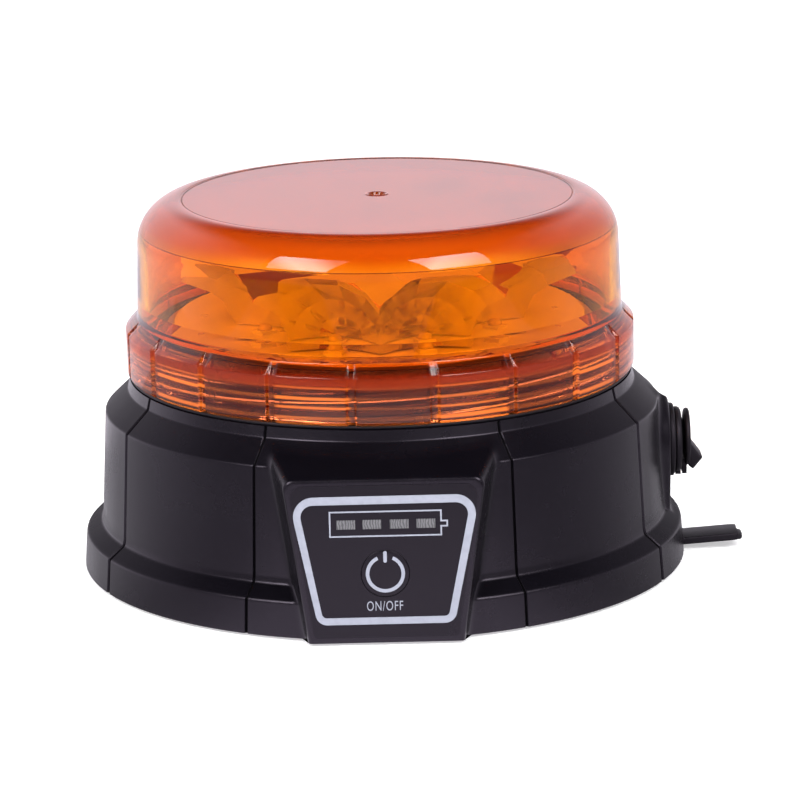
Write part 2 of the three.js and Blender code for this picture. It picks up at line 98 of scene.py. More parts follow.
# ------------------------------------------------------------------ shader graphs
def rgba(colour):
    """Opaque colour from three values, or a grey from one."""
    return (*colour, 1) if isinstance(colour, tuple) else (colour, colour, colour, 1)


class Graph:
    """Shader nodes of a material or world. Inputs are given as values or as sockets to link."""

    def __init__(self, owner, output="OutputMaterial"):
        owner.use_nodes = True
        self.owner = owner
        self.tree = owner.node_tree
        self.tree.nodes.clear()
        self.out = self.node(output)

    def fill(self, target, value):
        if isinstance(value, bpy.types.NodeSocket):
            self.tree.links.new(value, target)
        else:
            target.default_value = value

    def node(self, kind, **settings):
        """New node. Settings are inputs, with _ for a space, or properties of the node."""
        node = self.tree.nodes.new("ShaderNode" + kind)
        for key, value in settings.items():
            label = key.replace("_", " ")
            if label in node.inputs:
                self.fill(node.inputs[label], value)
            else:
                setattr(node, key, value)
        return node

    def add(self, kind, out=0, **settings):
        """One output of a new node."""
        return self.node(kind, **settings).outputs[out]

    def coords(self):
        return self.add("TexCoord", "Object")

    def noise(self, coords, scale, detail=2.0, **settings):
        return self.add("TexNoise", Vector=coords, Scale=scale, Detail=detail, **settings)

    def math(self, operation, *values):
        node = self.node("Math", operation=operation)
        for target, value in zip(node.inputs, values):
            self.fill(target, value)
        return node.outputs[0]

    def span(self, value, start, end, to_start=0.0, to_end=1.0, **settings):
        """Maps start..end to to_start..to_end."""
        return self.add("MapRange", Value=value, From_Min=start, From_Max=end,
                        To_Min=to_start, To_Max=to_end, **settings)

    def ramp(self, value, *stops):
        """Colour ramp. stops: (position, colour or grey level)."""
        node = self.node("ValToRGB", Fac=value)
        elements = node.color_ramp.elements
        while len(elements) > 1:
            elements.remove(elements[-1])
        elements[0].position = stops[0][0]
        elements[0].color = rgba(stops[0][1])
        for position, colour in stops[1:]:
            elements.new(position).color = rgba(colour)
        return node.outputs[0]

    def azimuth(self, x, y):
        """Angle from -Y towards +X, in radians."""
        return self.math("ARCTAN2", x, self.math("MULTIPLY", y, -1.0))

    def mix(self, share, first, second):
        """Shader that is first where share is 0 and second where it is 1."""
        node = self.node("MixShader", Fac=share)
        self.fill(node.inputs[1], first)
        self.fill(node.inputs[2], second)
        return node.outputs[0]

    def surface(self, shader):
        self.fill(self.out.inputs["Surface"], shader)
        return self.owner


def new_material(name):
    return Graph(bpy.data.materials.new(name))


# ------------------------------------------------------------------ materials
def moulded(name, colour, rough=0.45, grain=0.25, grain_scale=5200, spec=0.5, tint=0.25,
            painted_shade_up=0.0):
    """Moulded plastic or rubber: fine texture in the bump, slow variation in roughness and
    colour. tint: how much lighter the pale places are. painted_shade_up: painted shade, matt
    share of upward faces."""
    graph = new_material(name)
    coords = graph.coords()
    fine = graph.noise(coords, grain_scale, Roughness=0.6)
    slow = graph.noise(coords, 38.0, 5.0, Roughness=0.62)
    speck = graph.noise(coords, 900.0, 3.0, Roughness=0.7)
    pale = tuple(min(1, c * (1 + tint)) for c in colour)
    shade = graph.ramp(slow, (0.35, colour), (0.7, pale))
    roughness = graph.ramp(slow, (0.3, rough - 0.05), (0.72, rough + 0.07))
    grained = graph.add("Bump", Strength=grain, Distance=0.00006, Height=fine)
    specked = graph.add("Bump", Strength=grain * 0.5, Distance=0.00009, Height=speck,
                        Normal=grained)
    # painted sheen: the gloss of near-black plastics is tinted violet, a painted tint on their
    # reflections
    painted_sheen_tint = (0.94, 0.82, 1.0, 1) if max(colour) < 0.03 else (1, 1, 1, 1)
    plastic = graph.add("BsdfPrincipled", Base_Color=shade, Roughness=roughness, Normal=specked,
                        Specular_IOR_Level=spec, Specular_Tint=painted_sheen_tint)
    if not painted_shade_up:
        return graph.surface(plastic)
    # painted shade: upward faces are made matt, which takes off their gloss and darkens them
    normal = graph.node("SeparateXYZ", Vector=graph.add("NewGeometry", "Normal"))
    up_shade = graph.ramp(normal.outputs["Z"], (0.45, 0), (0.72, painted_shade_up),
                      (0.92, min(1, painted_shade_up + 0.4)))
    return graph.surface(graph.mix(up_shade, plastic, graph.add("BsdfDiffuse", Color=shade)))


def metal(name, colour, rough=0.3, scale=60):
    graph = new_material(name)
    coords = graph.coords()
    slow = graph.noise(coords, scale, 4.0)
    fine = graph.noise(coords, 2600.0)
    roughness = graph.ramp(slow, (0.3, max(0.02, rough - 0.06)), (0.7, rough + 0.08))
    bump = graph.add("Bump", Strength=0.12, Distance=0.00003, Height=fine)
    return graph.surface(graph.add("BsdfPrincipled", Base_Color=(*colour, 1), Metallic=1.0,
                                   Roughness=roughness, Normal=bump))


# Tint of the dome from the thick collar to the top: (height, colour).
AMBER_BANDS = (
    (50, (0.84, 0.17, 0.05)), (65.5, (0.84, 0.17, 0.05)),
    (69, (0.97, 0.37, 0.009)), (89.5, (0.97, 0.37, 0.009)),
    (92.5, (0.84, 0.165, 0.003)), (96.6, (0.75, 0.095, 0.002)), (97.3, (0.38, 0.03, 0.001)))
BAND_LOW, BAND_HIGH = 50, 100
# Painted highlights: level bright streaks for light caught on the flanks of the internal thread:
# (height, half width, strength).
PAINTED_STREAKS = ((61.0, 0.35, 0.45), (58.3, 0.55, 0.8), (55.9, 0.4, 0.6), (53.2, 0.65, 0.8),
           (51.8, 0.3, 0.4))
PAINTED_STREAK_HIGH = 66


def paint_thread_highlights(graph, coords, place, plastic):
    """Adds painted highlight streaks for light caught on the thread flanks, stronger behind every
    other flat.
    """
    reach = PAINTED_STREAK_HIGH - BAND_LOW
    level = graph.span(place["Z"], BAND_LOW * MM, PAINTED_STREAK_HIGH * MM)
    wobble = 0.022
    wavy = graph.math("MULTIPLY_ADD", graph.noise(coords, 60.0), wobble, level)
    stops = [(0.0, 0)]
    for height, half_width, strength in PAINTED_STREAKS:
        middle = (height - BAND_LOW) / reach + wobble / 2
        width = half_width / reach
        stops += [(middle - width, 0), (middle - width * 0.45, strength),
                  (middle + width * 0.45, strength), (middle + width, 0)]
    painted_streak = graph.ramp(wavy, *stops)
    waves = graph.math("MULTIPLY_ADD", graph.azimuth(place["X"], place["Y"]), 10.0,
                       math.radians(155))
    highlight_by_flat = graph.ramp(graph.math("COSINE", waves), (0.0, 0.22), (0.18, 1.0), (1.0, 1.0))
    # bright diffuse paint stands in for the lit flanks: a painted highlight
    return graph.mix(graph.math("MULTIPLY", painted_streak, highlight_by_flat), plastic,
                     graph.add("BsdfDiffuse", Color=(1.0, 0.62, 0.42, 1)))


def amber(name, rough=0.006, haze=0.03, haze_colour=(0.38, 0.045, 0.014), thread_highlights=False):
    """Clear amber plastic. Camera and mirror rays refract; lamps and soft light pass straight
    through, tinted, so the cells inside are lit."""
    graph = new_material(name)
    coords = graph.coords()
    place = graph.node("SeparateXYZ", Vector=coords).outputs
    height = graph.span(place["Z"], BAND_LOW * MM, BAND_HIGH * MM)
    tint = graph.ramp(height, *(((z - BAND_LOW) / (BAND_HIGH - BAND_LOW), colour)
                                for z, colour in AMBER_BANDS))
    bump = graph.add("Bump", Strength=0.04, Distance=0.0004, Height=graph.noise(coords, 14.0))
    facing = graph.add("LayerWeight", "Facing", Blend=0.5)
    edge = graph.ramp(facing, (0.68, 0), (0.95, 0.55))
    # colour mix: inputs 6 and 7 are its two colours, output 2 its result
    deep = graph.node("Mix", data_type="RGBA", Factor=edge)
    graph.fill(deep.inputs[6], tint)
    graph.fill(deep.inputs[7], (0.93, 0.30, 0.10, 1))
    clear = graph.add("BsdfPrincipled", Base_Color=deep.outputs[2], Roughness=rough, Normal=bump,
                      IOR=1.57, Transmission_Weight=1.0)
    milky = graph.add("BsdfDiffuse", Color=(*haze_colour, 1))
    # light trapped in the thick collar glows red just under its top edge
    share = graph.ramp(height, (0.0, haze), (0.205, haze), (0.235, haze + 0.3),
                       (0.262, haze + 0.3), (0.285, haze), (1.0, haze))
    plastic = graph.mix(share, clear, milky)
    # painted highlight streaks on the collar's inside
    if thread_highlights:
        plastic = paint_thread_highlights(graph, coords, place, plastic)
    path = graph.node("LightPath").outputs
    straight = graph.math("MAXIMUM", path["Is Shadow Ray"], path["Is Diffuse Ray"])
    passing = graph.add("BsdfTransparent", Color=(0.99, 0.74, 0.19, 1))
    return graph.surface(graph.mix(straight, plastic, passing))


def printed(name, colour, rough=0.45):
    graph = new_material(name)
    uneven = graph.noise(graph.coords(), 700.0, 3.0)
    ink = graph.ramp(uneven, (0.3, tuple(v * 0.9 for v in colour)), (0.65, colour))
    return graph.surface(graph.add("BsdfPrincipled", Base_Color=ink, Roughness=rough))


def hatched(name):
    """Unlit gauge windows: grey frosted strips with uneven upright bars."""
    graph = new_material(name)
    coords = graph.coords()
    place = graph.node("SeparateXYZ", Vector=coords).outputs
    flat = graph.add("CombineXYZ", X=place["X"], Y=0.0, Z=place["Z"])
    bars = graph.add("TexWave", "Fac", Vector=flat, Scale=460.0, Distortion=7.0, Detail=3.0,
                     bands_direction="X")
    broken = graph.math("MULTIPLY", bars, graph.noise(coords, 1500.0, 3.0))
    shade = graph.ramp(broken, (0.10, (0.075, 0.073, 0.08)), (0.36, (0.16, 0.158, 0.17)))
    return graph.surface(graph.add("BsdfPrincipled", Base_Color=shade, Roughness=0.4))


MAT = {
    "lens_amber": amber("lens_amber_v"),
    "lens_amber_frost": amber("lens_amber_frost_v", rough=0.34),
    # painted shade: nearly opaque dark red for the thin line under the frost
    "lens_amber_painted_line": amber("lens_amber_painted_line_v", haze=0.72, haze_colour=(0.10, 0.012, 0.003)),
    # painted highlight streaks for light on the thread flanks
    "lens_amber_thread": amber("lens_amber_thread_v", thread_highlights=True),
    # painted shade: the housing's upward faces are dulled and darkened
    "housing_black": moulded("housing_black_v", (0.0030, 0.0025, 0.0040), rough=0.25, grain=0.35,
                             painted_shade_up=0.68),
    # painted shade for the bottoms of the mould seams
    "seam_shade": moulded("seam_shade_v", (0.0012, 0.0011, 0.0014), rough=0.7, grain=0.2,
                          spec=0.05),
    "rubber_black": moulded("rubber_black_v", (0.0040, 0.0036, 0.0046), rough=0.5, grain=0.3,
                            grain_scale=3000, spec=0.4),
    "film_black": moulded("film_black_v", (0.0040, 0.0034, 0.0048), rough=0.30, grain=0.12,
                          grain_scale=4200, spec=0.36),
    "reflector_metallised": metal("reflector_v", (0.74, 0.73, 0.72), rough=0.10, scale=90),
    "reflector_satin": moulded("reflector_satin_v", (0.62, 0.61, 0.58), rough=0.42, grain=0.1,
                               tint=0.04),
    "board_white": moulded("board_white_v", (0.78, 0.77, 0.73), rough=0.4, grain=0.1, tint=0.08),
    "board_green": moulded("board_green_v", (0.02, 0.16, 0.07), rough=0.35, grain=0.1),
    "led_phosphor": moulded("led_phosphor_v", (0.62, 0.56, 0.36), rough=0.2, grain=0.05),
    "guide_clear": hatched("guide_v"),
    "aluminium_plain": metal("aluminium_v", (0.80, 0.81, 0.83), rough=0.35),
    "steel_plated": metal("steel_v", (0.66, 0.67, 0.69), rough=0.28),
    "magnet_nickel": metal("magnet_v", (0.60, 0.61, 0.63), rough=0.22),
    "cell_blue": moulded("cell_v", (0.05, 0.20, 0.48), rough=0.3, grain=0.05),
    "brass_plain": metal("brass_v", (0.80, 0.58, 0.25), rough=0.25),
    "nylon_dark": moulded("nylon_v", (0.026, 0.026, 0.029), rough=0.5, grain=0.2),
    "wire_red": moulded("wire_red_v", (0.45, 0.02, 0.02), rough=0.45, grain=0.05),
    "print_white": printed("print_white_v", (0.33, 0.345, 0.42)),
}

# the frame's own pieces take the material of their slot
slot_of = {part["node"]: part.get("material_slot", part["node"])
           for part in frame["record"]["subparts"]}
for name, piece in frame["nodes"].items():
    material = MAT.get(slot_of.get(name), MAT["nylon_dark"])
    if not piece.material_slots:
        piece.data.materials.append(material)
    for slot in piece.material_slots:
        slot.link = "OBJECT"
        slot.material = material


# ------------------------------------------------------------------ making objects
def finish(name, data, slot, body="base", look=None, stands_for=(), sharp=40):
    """Object from mesh data. slot: its material slot; body: the moving body it rides on; look:
    a material other than the slot's; stands_for: frame nodes replaced; sharp: edge angle."""
    piece = bpy.data.objects.new(name, data)
    bpy.context.scene.collection.objects.link(piece)
    data.materials.clear()
    data.materials.append(MAT[look or slot])
    data.polygons.foreach_set("use_smooth", [True] * len(data.polygons))
    data.set_sharp_from_angle(angle=math.radians(sharp))
    data.update()
    if stands_for:
        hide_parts(*stands_for)
    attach(piece, body)
    return piece


def mesh_data(name, mesh):
    data = bpy.data.meshes.new(name)
    data.from_pydata((np.asarray(mesh[0], dtype=np.float64) * MM).tolist(), [], mesh[1])
    data.validate()
    return data


def make(name, mesh, slot, **options):
    data = mesh_data(name, mesh)
    data.update()
    return finish(name, data, slot, **options)


def add_looks(piece, *looks):
    """Further material slots, from index 1 up."""
    for index, look in enumerate(looks, 1):
        piece.data.materials.append(MAT[look])
        piece.material_slots[index].link = "OBJECT"
        piece.material_slots[index].material = MAT[look]


def face_place(face):
    """Radius, angle from +X and height of a face's centre."""
    x, y, z = [float(value) / MM for value in face.center]
    return math.hypot(x, y), math.degrees(math.atan2(y, x)), z


# ------------------------------------------------------------------ mesh helpers
def grid_faces(rows, cols, close_rows=False):
    """Quads of a rows x cols grid of vertices, row-major, with closed columns."""
    faces = []
    for i in range(rows if close_rows else rows - 1):
        i2 = (i + 1) % rows
        for j in range(cols):
            j2 = (j + 1) % cols
            faces.append((i * cols + j, i * cols + j2, i2 * cols + j2, i2 * cols + j))
    return faces


def loft_faces(sections, count):
    """Skin over sections of count points each, closed at both ends."""
    first = tuple(range(count))[::-1]
    last = tuple((sections - 1) * count + j for j in range(count))
    return grid_faces(sections, count) + [first, last]


def fillet(points, radii, steps=5):
    """Rounds the inner corners of a polyline. radii: one number or one per point."""
    points = [np.array(p, float) for p in points]
    out = []
    for i, point in enumerate(points):
        radius = radii[i] if isinstance(radii, (list, tuple)) else radii
        if i in (0, len(points) - 1) or not radius:
            out.append(tuple(point))
            continue
        back, ahead = points[i - 1] - point, points[i + 1] - point
        back_length, ahead_length = np.linalg.norm(back), np.linalg.norm(ahead)
        back, ahead = back / back_length, ahead / ahead_length
        angle = math.acos(np.clip(back @ ahead, -1, 1))
        if abs(math.pi - angle) < 1e-3:
            out.append(tuple(point))
            continue
        # the round may use up no more than about half of either side
        tangent = min(radius / math.tan(angle / 2), back_length * 0.49, ahead_length * 0.49)
        fitted = tangent * math.tan(angle / 2)
        bisector = back + ahead
        centre = point + bisector / np.linalg.norm(bisector) * fitted / math.sin(angle / 2)
        start, end = point + back * tangent - centre, point + ahead * tangent - centre
        sweep = math.atan2(start[0] * end[1] - start[1] * end[0], start @ end)
        for k in range(steps + 1):
            turn = sweep * k / steps
            cos, sin = math.cos(turn), math.sin(turn)
            out.append(tuple(centre + np.array([start[0] * cos - start[1] * sin,
                                                start[0] * sin + start[1] * cos])))
    return out


def round_poly(points, radii, steps=8):
    """Closed 2-D polygon with circular corners. radii: one number or one per corner."""
    out = []
    for i, point in enumerate(points):
        radius = radii[i] if isinstance(radii, (list, tuple)) else radii
        corner = [points[i - 1], point, points[(i + 1) % len(points)]]
        out += fillet(corner, [0, radius, 0], steps)[1:-1]
    return out


def turned(profile, segments, axis="z"):
    """Body turned about an axis. profile: (radius, height) along the outside then back along the
    inside; it starts and ends on the axis, or closes on itself. It runs anticlockwise when the
    radius is to the right and the height is up."""
    solid = profile[0][0] < 1e-6 and profile[-1][0] < 1e-6
    rings = profile[1:-1] if solid else profile
    verts = []
    for radius, height in rings:
        for j in range(segments):
            angle = TAU * j / segments
            verts.append((radius * math.cos(angle), radius * math.sin(angle), height))
    faces = grid_faces(len(rings), segments, close_rows=not solid)
    if solid:
        start, end = len(verts), len(verts) + 1
        last = (len(rings) - 1) * segments
        verts += [(0, 0, profile[0][1]), (0, 0, profile[-1][1])]
        for j in range(segments):
            j2 = (j + 1) % segments
            faces.append((start, j2, j))
            faces.append((end, last + j, last + j2))
    verts = np.array(verts)
    if axis == "x":
        verts = verts[:, [2, 0, 1]]
    elif axis == "-y":
        verts = np.stack([verts[:, 0], -verts[:, 2], verts[:, 1]], 1)
    return verts, faces


def cylinder(radius, bottom, top, segments):
    return turned([(0, bottom), (radius, bottom), (radius, top), (0, top)], segments)


def prism(points, start, end):
    """Polygon of (y, z) pushed along X from start to end."""
    count = len(points)
    verts = [(x, y, z) for x in (start, end) for y, z in points]
    faces = [tuple(range(count))[::-1], tuple(range(count, 2 * count))]
    for i in range(count):
        i2 = (i + 1) % count
        faces.append((i, i2, count + i2, count + i))
    return np.array(verts, float), faces


def block(x0, x1, y0, y1, z0, z1):
    return prism([(y0, z0), (y1, z0), (y1, z1), (y0, z1)], x0, x1)


def moved(mesh, x=0, y=0, z=0):
    return np.array(mesh[0], float) + (x, y, z), mesh[1]


def spun(mesh, angle):
    """Turned about Z."""
    verts = np.array(mesh[0], float)
    cos, sin = math.cos(math.radians(angle)), math.sin(math.radians(angle))
    x, y = verts[:, 0], verts[:, 1]
    return np.stack([x * cos - y * sin, x * sin + y * cos, verts[:, 2]], 1), mesh[1]


def join(meshes):
    all_verts, all_faces, offset = [], [], 0
    for verts, faces in meshes:
        all_verts.append(np.asarray(verts, float))
        all_faces += [tuple(i + offset for i in face) for face in faces]
        offset += len(verts)
    return np.concatenate(all_verts), all_faces


def cut_away(base, cutters):
    """Mesh data of base minus the cutters."""
    scene_objects = bpy.context.scene.collection.objects
    solids = []
    for mesh in [base, *cutters]:
        data = mesh_data("t", mesh)
        edit = bmesh.new()
        edit.from_mesh(data)
        bmesh.ops.recalc_face_normals(edit, faces=edit.faces)
        edit.to_mesh(data)
        edit.free()
        solids.append(bpy.data.objects.new("t", data))
        scene_objects.link(solids[-1])
    for cutter in solids[1:]:
        modifier = solids[0].modifiers.new("b", "BOOLEAN")
        modifier.operation, modifier.solver, modifier.object = "DIFFERENCE", "EXACT", cutter
    graph = bpy.context.evaluated_depsgraph_get()
    data = bpy.data.meshes.new_from_object(solids[0].evaluated_get(graph))
    for solid in solids:
        bpy.data.objects.remove(solid)
    return data


def curve_mesh(curve):
    """Mesh of a flat curve or text: (u, v, depth)."""
    piece = bpy.data.objects.new("c", curve)
    bpy.context.scene.collection.objects.link(piece)
    graph = bpy.context.evaluated_depsgraph_get()
    data = bpy.data.meshes.new_from_object(piece.evaluated_get(graph))
    bpy.data.objects.remove(piece)
    edit = bmesh.new()
    edit.from_mesh(data)
    bmesh.ops.remove_doubles(edit, verts=edit.verts, dist=1e-4)
    bmesh.ops.recalc_face_normals(edit, faces=edit.faces)
    verts = np.array([vert.co[:] for vert in edit.verts])
    edit.verts.index_update()
    faces = [tuple(vert.index for vert in face.verts) for face in edit.faces]
    edit.free()
    bpy.data.meshes.remove(data)
    return verts, faces


def plate(outlines, thick):
    """Filled 2-D outlines given thickness. Inner outlines are holes."""
    curve = bpy.data.curves.new("c", "CURVE")
    curve.dimensions, curve.fill_mode = "2D", "BOTH"
    curve.extrude = thick / 2
    for outline in outlines:
        spline = curve.splines.new("POLY")
        spline.points.add(len(outline) - 1)
        spline.use_cyclic_u = True
        for point, place in zip(spline.points, outline):
            point.co = (place[0], place[1], 0, 1)
    return curve_mesh(curve)


def on_front(mesh, y):
    """(u, v, depth) laid on the panel: u to X, v to Z, depth towards -Y."""
    verts = mesh[0]
    return np.stack([verts[:, 0], y - verts[:, 2], verts[:, 1]], 1), mesh[1]


# ------------------------------------------------------------------ housing
# Outline of the round body from the foot to the shoulder: (radius, height).
BODY_OUTLINE = fillet(
    [(BASE_R, 0.6), (79.3, 9.5), (75.1, 12.75), (74.75, 14.2), (73.15, 42.1), (66.95, 47.95),
     (66.3, 50.8)],
    [0, 0.8, 0.6, 0.5, 0.8, 0.5, 0], 6)
outline_r, outline_z = np.array(BODY_OUTLINE).T
# Panel block: half width at the table and at a height, and the top edge of its face.
BLOCK_HALF_LOW, BLOCK_HALF_HIGH, BLOCK_HIGH_Z = 19.1, 24.95, 42.3
BLOCK_TOP = 42.5
BOSS_X, BOSS_R = 76.05, 11.1            # socket boss: its flat face and its round upper half
NOWHERE = 50.0                          # field value well outside
# Mould seams stand in pairs either side of the four quarter directions: (quarter, azimuth).
# Azimuths are measured from -Y towards +X.
SEAMS = [(k, 90 * k + side) for k in range(4) for side in (26, -26)]


def rounded_edge(first, second, radius):
    """Field of two half spaces cut together, with the edge between them rounded."""
    a, b = np.maximum(first + radius, 0), np.maximum(second + radius, 0)
    inner = np.minimum(np.maximum(first + radius, second + radius), 0)
    return np.sqrt(a * a + b * b) + inner - radius


def blended(first, second, reach):
    """Union of two fields with a soft inner corner."""
    share = np.clip(0.5 + 0.5 * (second - first) / reach, 0, 1)
    return second * (1 - share) + first * share - reach * share * (1 - share)


def block_half_width(z):
    return BLOCK_HALF_LOW + (BLOCK_HALF_HIGH - BLOCK_HALF_LOW) * z / BLOCK_HIGH_Z


def housing_field(x, y, z):
    """Negative inside the housing, and roughly the distance from its skin. The outer factors
    make up for the slant of each surface."""
    body = (np.hypot(x, y) - np.interp(z, outline_z, outline_r)) * 0.97
    behind = y - PANEL_Y
    side = (np.abs(x) - block_half_width(z) - 0.20 * behind) * 0.975
    top = (z - BLOCK_TOP - 0.17 * behind) * 0.98
    panel = rounded_edge(-behind, rounded_edge(side, top, 3.0), 0.8)
    field = blended(body, np.where(y < -45, panel, NOWHERE), 1.5)
    # the boss is round above the socket's middle and narrows below it
    above = z - (SOCKET_Z + 0.2)
    lower = (np.abs(y) - (7.6 + 3.5 * np.clip((z - 11) / 18.4, 0, 1) ** 0.8)) * 0.98
    outline = np.maximum(np.where(above > 0, np.hypot(y, above) - BOSS_R, lower), -3)
    face = x - BOSS_X
    boss = rounded_edge(face, (face + 1.9 * outline) * 0.47, 0.45)
    return blended(field, np.where(x > 30, boss, NOWHERE), 1.3)


def seam_depth(azimuth, radius):
    depth = np.zeros_like(azimuth)
    for quarter, seam in SEAMS:
        width, deepest = (0.48, 1.0) if quarter % 2 else (0.28, 0.55)
        away = np.abs((azimuth - seam + 180) % 360 - 180) * math.pi / 180 * radius
        depth = np.maximum(depth, deepest * np.clip((width * 1.5 - away) / (width * 0.7), 0, 1))
    return depth


WARP_EDGE = 24.0                        # the lines within this azimuth lean with the panel
PANEL_EDGE = 16.6                       # line that follows the edge of the panel block


def azimuth_lines():
    """Azimuths of the upright mesh lines, dense where there is detail."""
    panel = [*np.linspace(-13.0, 13.0, 49)[:-1], *np.linspace(13.0, 17.6, 26)[:-1],
             *np.linspace(17.6, WARP_EDGE, 22)[:-1]]
    panel = [round(v, 5) for v in panel] + [round(-v, 5) for v in panel] + [-WARP_EDGE, WARP_EDGE]
    offsets = (-0.62, -0.42, -0.32, -0.22, -0.1, 0.0, 0.1, 0.22, 0.32, 0.42, 0.62)
    seams = [seam + offset for _, seam in SEAMS for offset in offsets]
    from_boss = [*np.arange(0, 5.0, 0.36), *np.arange(5.0, 10.4, 0.13),
                 *np.arange(10.5, 22, 0.9), 4.02, 4.14, 4.26]    # the last three edge the notch
    boss = [90 + side * offset for side in (-1, 1) for offset in from_boss]
    plain = []
    for start, end in ((27, 63), (117, 153), (157, 203), (207, 243), (247, 293), (297, 333)):
        plain += list(np.arange(start, end + 0.01, 3.0))
    lines = sorted(set(round((v + 360) % 360, 4) for v in panel + seams + boss + plain))
    kept = [lines[0]]
    for line in lines[1:]:
        if line - kept[-1] > 0.045:
            kept.append(line)
    return np.array(kept)


azimuths = azimuth_lines()
heights = np.array([
    0.6, 0.75, 1.0, 1.5, 2.2, 3.0, 3.8, 4.6, 5.05, 5.2, 5.35, 6, 7, 7.8,
    *np.arange(8.2, 15.01, 0.32), *np.arange(15.6, 28, 0.85), *np.arange(28.2, 40.9, 0.42),
    *np.arange(41.0, 47.3, 0.2), *np.arange(47.4, 48.4, 0.2), 48.8, 49.6, 50.4, 50.68])


def outer_skin():
    """Vertices of the outer skin, one row per height."""
    z, azimuth = np.meshgrid(heights, azimuths, indexing="ij")
    signed = (azimuth + 180) % 360 - 180
    # the lines beside the panel lean with its sloping sides
    edge = np.degrees(np.arctan2(block_half_width(np.minimum(z, 42)), -PANEL_Y))
    size = np.abs(signed)
    leaned = np.where(
        size <= PANEL_EDGE, size * edge / PANEL_EDGE,
        edge + (size - PANEL_EDGE) * (WARP_EDGE - edge) / (WARP_EDGE - PANEL_EDGE))
    azimuth = np.where(size < WARP_EDGE, np.sign(signed) * leaned, signed)
    angle = np.radians(azimuth)
    out_x, out_y = np.sin(angle), -np.cos(angle)
    # find the skin along each ray by halving
    near, far = np.full_like(z, 60.0), np.full_like(z, 98.0)
    for _ in range(34):
        middle = (near + far) / 2
        inside = housing_field(middle * out_x, middle * out_y, z) < 0
        near, far = np.where(inside, middle, near), np.where(inside, far, middle)
    radius = (near + far) / 2
    radius = radius - seam_depth(azimuth, radius) * np.clip((50.7 - z) / 0.25, 0, 1)
    x, y = radius * out_x, radius * out_y
    # recesses behind the button and the gauge windows, and the notch for the lift tab
    at_panel = np.abs(azimuth) < 20
    button_recess = at_panel & (np.hypot(x, z - BUTTON_Z) < 6.5)
    gauge_recess = at_panel & (np.abs(x) < 13.8) & (np.abs(z - 31) < 2.1)
    notch = (np.abs(azimuth - 90) < 12) & (np.abs(y) < 5.75) & (z < 5.25)
    slant = np.cos(np.clip(angle, -0.6, 0.6))
    radius = np.where(button_recess, (-PANEL_Y - 3.2) / slant, radius)
    radius = np.where(gauge_recess, (-PANEL_Y - 0.9) / slant, radius)
    radius = np.where(notch, 77.7, radius)
    return np.stack([radius * out_x, radius * out_y, z], -1).reshape(-1, 3)


# Round rows after the skin: ledge, neck, its inner floor, then down the inside: (radius, height).
INSIDE = [
    (66.22, 50.72), (66.0, 50.85), (62.9, 50.85), (62.3, 51.3), (62.3, 62.5), (61.9, NECK_TOP),
    (60.2, NECK_TOP), (60, 62.6), (60, 59.8), (6, 59.8), (6, 57.4), (59.4, 57.4), (59.4, 48),
    (70.0, 40.8), (71.9, 14), (73.8, 10.8), (73.8, 6), (77.2, 6), (77.2, 0.7), (77.4, 0.6)]


def build_housing():
    angles = np.radians(azimuths)
    count = len(azimuths)
    rows = [outer_skin()]
    for radius, z in INSIDE:
        rows.append(np.stack([radius * np.sin(angles), -radius * np.cos(angles),
                              np.full(count, z)], 1))
    faces = grid_faces(len(heights) + len(INSIDE), count, close_rows=True)
    housing = make("housing_skin", (np.concatenate(rows), faces), "housing_black",
                   stands_for=("housing_shell",), sharp=32)
    # painted shade: the bottoms of the mould seams take a near-black matt look for the shade in
    # them
    add_looks(housing, "seam_shade")
    in_seam = np.zeros(count, bool)
    for quarter, seam in SEAMS:
        half_width = 0.43 if quarter % 2 else 0.23
        away = (azimuths - seam + 180) % 360 - 180
        in_seam |= (away > -half_width) & (away < half_width - 0.05)
    for face in housing.data.polygons:
        i, j = divmod(face.index, count)
        if i < len(heights) and in_seam[j]:
            face.material_index = 1


build_housing()


def thread_ridge(start, root_r=62.1, crest_r=63.7, root_height=1.3, crest_height=0.75,
                 span=210, step=3.0, run_out=14):
    """Thread ridge wound round Z, tapering over run_out at its ends."""
    count = int(span / step) + 1
    verts = []
    for i in range(count):
        turn = span * i / (count - 1)
        ease = min(1.0, turn / run_out, (span - turn) / run_out)
        ease = ease * ease * (3 - 2 * ease)
        rise = (crest_r - root_r) * (0.12 + 0.88 * ease)
        crest, flank = root_r + rise, root_r + rise * 0.85
        angle = math.radians(start + turn)
        z = THREAD_Z + THREAD_LEAD * turn / 360
        half_root, half_crest = root_height / 2, crest_height / 2
        section = [(root_r, z - half_root), (flank, z - half_crest - 0.06),
                   (crest, z - half_crest + 0.08), (crest, z + half_crest - 0.08),
                   (flank, z + half_crest + 0.06), (root_r, z + half_root)]
        verts += [(r * math.cos(angle), r * math.sin(angle), height) for r, height in section]
    return np.array(verts), [face[::-1] for face in loft_faces(count, 6)]


make("neck_thread", join([thread_ridge(k * 120) for k in range(THREAD_STARTS)]), "housing_black")

# ------------------------------------------------------------------ dome
FLUTES = 20
FLUTE_STEP = 360 // FLUTES
FLUTE_START = -6.5                      # azimuth of the first flute's middle
# Round at the inside of the dome's top: centre radius and height, half width, half height.
ROUND_R, ROUND_Z, ROUND_A, ROUND_B = 50.4, 86.4, 10.5, 8.75
COLLAR_INNER_R = 64.3

